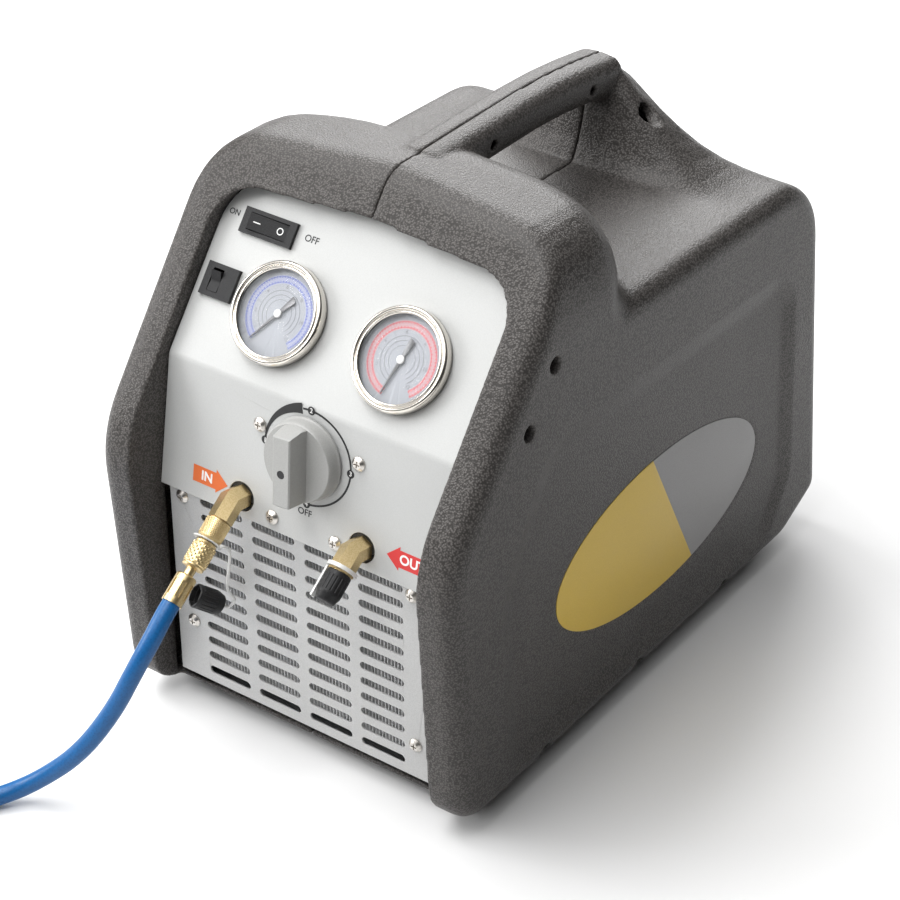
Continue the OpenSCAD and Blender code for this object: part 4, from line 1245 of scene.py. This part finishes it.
@dataclass
class Gauge:
    """One round pressure gauge."""

    side: Side
    at: Point2
    scale: Finish
    tint: Finish
    zero: float
    sweep: float
    bezel: Sequence[Point2] = (
        (27.85, 0.86), (29.5, 0.86), (29.95, 1.3), (30.0, 4.6), (29.85, 5.8), (29.4, 6.8),
        (28.75, 7.4), (28.1, 7.55), (27.5, 7.35), (27.1, 6.85), (26.95, 6.3), (26.7, 6.15),
        (26.45, 6.45), (26.1, 6.95), (25.6, 7.15), (25.15, 6.95), (24.9, 6.5), (24.85, 6.44),
        (27.7, 6.44), (27.85, 0.86),
    )
    hub: Sequence[Point2] = (
        (0, 4.9), (1.6, 4.9), (2.1, 4.7), (2.4, 4.3), (2.4, 4.12), (0, 4.12)
    )
    tint_band: Sequence[Point2] = ((17.2, 22.0),)
    scale_lines: Sequence[Point2] = ((21.0, 21.35), (17.85, 18.2))
    inner_bands: Sequence[Point2] = ((13.2, 13.6), (10.6, 11.0), (8.0, 8.3))
    tick_rows: Sequence[tuple[str, float, float, int]] = (
        ("outer", 20.3, 21.6, 60), ("inner", 17.6, 18.9, 50)
    )
    dial_top: float = 2.63
    band_top: float = 2.69
    tick_wide: float = 0.5
    number_size: float = 3.0
    number_ring: float = 15.6
    numbers: Sequence[str] = ("0", "2", "4", "6", "8", "10", "12")

    def arcs(self, name: str, radii: Sequence[Point2], thick: float) -> Piece:
        """Makes printed arcs over the whole sweep.

        Args:
            name: the piece's name.
            radii: inner and outer radius of each arc.
            thick: thickness of the print.

        Returns:
            The arcs as one piece.
        """
        stop = self.zero - self.sweep
        return Bench.plate(name, [arc_band(a, b, stop, self.zero) for a, b in radii], thick)

    def ticks(self, name: str, inner: float, outer: float, count: int) -> Piece:
        """Makes a ring of tick marks.

        Args:
            name: the piece's name.
            inner: inner radius.
            outer: outer radius.
            count: number of steps over the sweep.

        Returns:
            The marks as one piece.
        """
        Bench.clear()
        bpy.ops.mesh.primitive_cube_add(size=MM)
        piece = bpy.context.active_object
        piece.name = name
        piece.scale = (outer - inner, self.tick_wide, DIAL_PRINT)
        piece.location = ((inner + outer) / 2 * MM, 0, DIAL_PRINT / 2 * MM)
        Bench.settle(piece)
        marks = [piece]
        for i in range(1, count + 1):
            Bench.pick(piece)
            bpy.ops.object.duplicate()
            turn = math.radians(self.zero - self.sweep * i / count)
            marks.append(Bench.settle(bpy.context.active_object, Matrix.Rotation(turn, 4, "Z")))
        Bench.settle(piece, Matrix.Rotation(math.radians(self.zero), 4, "Z"))
        return Bench.join(name, marks)

    def digits(self, name: str) -> Piece:
        """Prints the numbers round the dial.

        Args:
            name: how the piece's name starts.

        Returns:
            The numbers as one piece.
        """
        words = []
        for i, text in enumerate(self.numbers):
            turn = math.radians(self.zero - self.sweep * i / (len(self.numbers) - 1))
            ring = self.number_ring * MM
            word = Bench.words(f"{name}_number_{i}", text, self.number_size, DIAL_PRINT)
            place = Matrix.Translation((ring * math.cos(turn), ring * math.sin(turn), 0))
            words.append(Bench.settle(word, place))
        return Bench.join(f"{name}_numbers", words)

    def build(self, dresser: Dresser) -> None:
        """Dresses the gauge and prints its dial.

        Args:
            dresser: finishes the pieces.
        """
        n = self.side.value
        body = f"{n}_needle"
        centre = DIALS.place(*self.at)
        on_dial = DIALS.place(*self.at, self.dial_top)
        on_band = DIALS.place(*self.at, self.band_top)
        dresser.dress(f"{n}_gauge_case", BLACK, ease=0.15)
        ring = Bench.settle(Bench.lathe(f"{n}_bezel_ring", self.bezel, steps=96), centre)
        dresser.fit(Bench.smooth(ring, angle=50), NICKEL, BODY, [f"{n}_gauge_bezel"])
        dresser.dress(f"{n}_gauge_dial", DIAL)
        dresser.dress(f"{n}_gauge_lens", GLASS)
        dresser.dress(f"{n}_gauge_needle", NEEDLE, body)
        hub = Bench.smooth(Bench.settle(Bench.lathe(f"{n}_needle_hub", self.hub, steps=32), centre))
        dresser.fit(hub, WHITE_PRINT, body)
        band = self.arcs(f"{n}_scale_band", self.tint_band, TINT_THICK)
        dresser.lay(band, on_dial, self.tint)
        lines = self.arcs(f"{n}_scale_lines", self.scale_lines, TINT_THICK)
        dresser.lay(lines, on_band, self.scale)
        for row, low, high, count in self.tick_rows:
            marks = self.ticks(f"{n}_{row}_marks", low, high, count)
            dresser.lay(marks, on_band, self.scale)
        inner = self.arcs(f"{n}_inner_bands", self.inner_bands, DIAL_PRINT)
        dresser.lay(inner, on_dial, GREY_SCALE)
        dresser.lay(self.digits(n), on_dial, GREY_SCALE)


GAUGES = (
    Gauge(Side.LEFT, (-38.5, 42.0), BLUE_SCALE, BLUE_TINT, 236.0, 285.0),
    Gauge(Side.RIGHT, (46.0, 42.5), PINK_SCALE, PINK_TINT, 257.0, 310.0),
)


@dataclass
class Switches:
    """Power rocker and breaker."""

    power: Point2 = (-66.4, 85.0)
    pivot: float = 0.4
    tilt: float = 11.0
    wing: Point2 = (12.7, 1.2)
    on_at: Point2 = (-7.4, 2.24)
    off_at: Point2 = (7.6, 2.26)
    bar: Point2 = (2.2, 0.3)
    rings: Point2 = (2.1, 1.55)

    def build(self, dresser: Dresser) -> None:
        """Dresses both switches and marks the rocker.

        Args:
            dresser: finishes the pieces.
        """
        dresser.dress("power_switch_housing", BLACK, ease=0.6)
        dresser.dress("power_rocker", BLACK, "power_rocker_body", ease=0.4)
        dresser.dress("breaker_housing", BLACK, ease=0.5)
        dresser.dress("breaker_rocker", BLACK, "breaker_rocker_body", ease=0.4)
        rock = DIALS.place(*self.power, self.pivot)
        rock = rock @ Matrix.Rotation(math.radians(self.tilt), 4, "Y")
        slope = math.atan2(self.wing[1], self.wing[0])
        x, y = self.bar
        marks = (
            ("rocker_on_mark", [[(-x, -y), (x, -y), (x, y), (-x, y)]], self.on_at, slope),
            ("rocker_off_mark", [circle(radius) for radius in self.rings], self.off_at, -slope),
        )
        for name, outlines, (across, up), turn in marks:
            place = rock @ Matrix.Translation((across * MM, 0, up * MM))
            place = place @ Matrix.Rotation(turn, 4, "Y")
            mark = Bench.plate(name, outlines, DIAL_PRINT)
            dresser.lay(mark, place, WHITE_PRINT, "power_rocker_body")


@dataclass
class Selector:
    """Selector knob and the printed ring round it."""

    at: Point2 = (2.0, 52.5)
    turn: float = 4.4
    top: float = 23.0
    pointer_y: float = -2.6
    pointer: Sequence[Point2] = ((0, 0.3), (2.2, 0.3), (2.42, 0.15), (2.42, 0.02), (0, 0.02))
    ring_at: Point2 = (2.2, 53.0)
    ring: Point2 = (30.0, 28.2)
    line: Point2 = (-85.0, 101.0)
    line_half: Point2 = (0.6, 0.6)
    wedge: Point2 = (184.0, 102.0)
    wedge_half: Point2 = (0.5, 3.2)
    wedge_curve: float = 1.4
    stops: Sequence[tuple[str, float]] = (("1", 180.0), ("2", 90.0), ("3", 1.0), ("4", -86.0))
    dot_radius: float = 2.5
    dot_gap: float = 0.05
    number_size: float = 4.0

    def on_ring(self, degrees: float, out: float = 0.0) -> Point2:
        """Gives a point on the printed ring.

        Args:
            degrees: its angle, counted from the right.
            out: distance outside the ring.

        Returns:
            The point in the ring's own frame.
        """
        a = math.radians(degrees)
        return (self.ring[0] + out) * math.cos(a), (self.ring[1] + out) * math.sin(a)

    def band(self, span: Point2, half: Point2) -> list[Point2]:
        """Gives the outline of a printed band along the ring.

        Args:
            span: first and last angle.
            half: half width at the first and at the last angle.

        Returns:
            The closed outline.
        """
        rows = []
        for i in range(RING_STEPS + 1):
            t = i / RING_STEPS
            wide = half[0] + (half[1] - half[0]) * t ** self.wedge_curve
            rows.append((span[0] + (span[1] - span[0]) * t, wide))
        back = [self.on_ring(a, -w) for a, w in reversed(rows)]
        return [self.on_ring(a, w) for a, w in rows] + back

    def build(self, dresser: Dresser) -> None:
        """Dresses the knob and prints its ring.

        Args:
            dresser: finishes the pieces.
        """
        dresser.dress("selector_knob", KNOB, "selector", ease=0.5)
        dresser.dress("selector_spindle", STEEL, "selector")
        face = CONTROLS.place(*self.ring_at, PAINT_GAP)
        line = Bench.plate("selector_ring", [self.band(self.line, self.line_half)], PRINT_THICK)
        dresser.lay(line, face, PRINT)
        wedge = Bench.plate("selector_wedge", [self.band(self.wedge, self.wedge_half)], PRINT_THICK)
        dresser.lay(wedge, face, PRINT)
        for text, turn in self.stops:
            x, y = self.on_ring(turn)
            place = face @ Matrix.Translation((x * MM, y * MM, self.dot_gap * MM))
            dot = Bench.plate(f"selector_dot_{text}", [circle(self.dot_radius)], PRINT_THICK)
            dresser.lay(dot, place, PRINT)
            number = Bench.words(f"selector_number_{text}", text, self.number_size)
            place = place @ Matrix.Translation((0, 0, WORD_GAP * MM))
            dresser.lay(number, place, WHITE_PRINT)
        place = CONTROLS.place(*self.at, self.top, self.turn)
        place = place @ Matrix.Translation((0, self.pointer_y * MM, 0))
        dot = Bench.settle(Bench.lathe("selector_pointer_dot", self.pointer, steps=32), place)
        dresser.fit(Bench.smooth(dot), PRINT, "selector")


@dataclass(frozen=True)
class KnurledNut:
    """A brass nut on the inlet: a knurled band over a turned core."""

    name: str
    node: str
    body: str
    along: float
    band: tuple[float, float, float, float, int, int]
    core: Sequence[Point2]
    smooth_below: float

    def build(self, dresser: Dresser) -> None:
        """Makes the nut in place of its CAD node.

        Args:
            dresser: finishes the pieces.
        """
        band = Bench.knurl(self.name, *self.band)
        nut = Bench.join(self.name, [band, Bench.lathe("collars", self.core)])
        nut = Bench.settle(nut, leg_place(INLET_X, self.along))
        nut = Bench.smooth(nut, self.smooth_below)
        dresser.fit(nut, BRASS, self.body, [self.node])


NUTS = (
    KnurledNut("hose_adapter_nut", "hose_adapter", BODY, 12.9, (7.45, 0.4, 0.8, 11.2, 34, 15), (
        (5.56, 0), (6.6, 0), (7.15, 0.5), (7.15, 11.4), (6.7, 12.0), (6.2, 13.0), (4.5, 13.0),
        (4.5, 26.5), (0, 26.5),
    ), 25.0),
    KnurledNut("hose_swivel_nut", "hose_coupler", "coupler", 26.9, (7.25, 0.6, 2.6, 14.4, 16, 8), (
        (4.7, 0), (5.6, 0), (6.2, 0.5), (6.35, 1.2), (6.2, 1.8), (6.8, 2.5), (6.8, 14.5),
        (6.5, 15.0), (6.5, 15.6), (6.7, 16.0), (6.4, 16.8), (5.8, 17.0), (3.05, 17.0),
    ), 20.0),
)


@dataclass
class PortFittings:
    """Brass elbows, the hose's fittings and the port caps."""

    def build(self, dresser: Dresser) -> None:
        """Dresses everything at the two ports.

        Args:
            dresser: finishes the pieces.
        """
        dresser.dress("inlet_elbow", BRASS, ease=0.3)
        dresser.dress("outlet_elbow", BRASS, ease=0.3)
        for nut in NUTS:
            nut.build(dresser)
        dresser.dress("hose_ferrule", BRASS, ease=0.3)
        dresser.dress("outlet_cap", BLACK, "cap", ease=0.2)
        dresser.dress("inlet_cap", BLACK, ease=0.3)
        dresser.dress("outlet_tether", STRAP, ease=0.3)
        dresser.dress("inlet_tether", STRAP, angle=60)


@dataclass
class RearAndBase:
    """Rear panel, mains inlet, feet and base plate."""

    def build(self, dresser: Dresser) -> None:
        """Dresses the rear and the underside.

        Args:
            dresser: finishes the pieces.
        """
        dresser.dress("rear_panel", PANEL_PAINT, ease=0.25)
        dresser.dress("rear_panel_screws", SCREW, ease=0.25)
        dresser.dress("power_inlet", BLACK, ease=0.4)
        dresser.dress("rubber_feet", RUBBER, ease=0.5)
        dresser.dress("foot_screws", NICKEL, ease=0.3)
        dresser.dress("base_plate", STEEL, ease=0.3)


@dataclass
class Works:
    """Condenser, fan, motor, compressor and pipes behind the grille."""

    finishes: Sequence[tuple[Finish, Sequence[str]]] = (
        (FINS, ("condenser_fins",)),
        (COPPER, ("condenser_tubes", "suction_pipe", "discharge_pipe", "outlet_pipe")),
        (STEEL, ("condenser_end_plates", "motor_body", "motor_cradle", "motor_shaft")),
        (BLACK, ("fan_shroud", "fan")),
        (ALUMINIUM, ("crankcase", "compressor_cylinder", "cylinder_head")),
        (WHITE_PRINT, ("capacitor",)),
        (BRASS, ("filter_drier",)),
        # The manifold's dark finish is painted shade seen through the port hole.
        (MANIFOLD_SHADE, ("valve_manifold",)),
    )

    def build(self, dresser: Dresser) -> None:
        """Paints the CAD pieces inside the case.

        Args:
            dresser: finishes the pieces.
        """
        for finish, nodes in self.finishes:
            for node in nodes:
                dresser.paint(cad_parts[node], finish)
                log.info("%s: %s", node, finish.name)


def main() -> None:
    """Builds the scene: camera and hose first, then the machine from outside in."""
    dresser = Dresser(FinishShop())
    studio = Studio()
    studio.camera()
    assemblies = (
        HoseRun(), CaseShell(), SidePlate(), FrontPanels(), *GAUGES, Switches(), Selector(),
        PortFittings(), RearAndBase(), Works(),
    )
    for assembly in assemblies:
        assembly.build(dresser)
    studio.floor(dresser)
    studio.lights()
    Bench.clear()


if __name__ == "__main__":
    main()
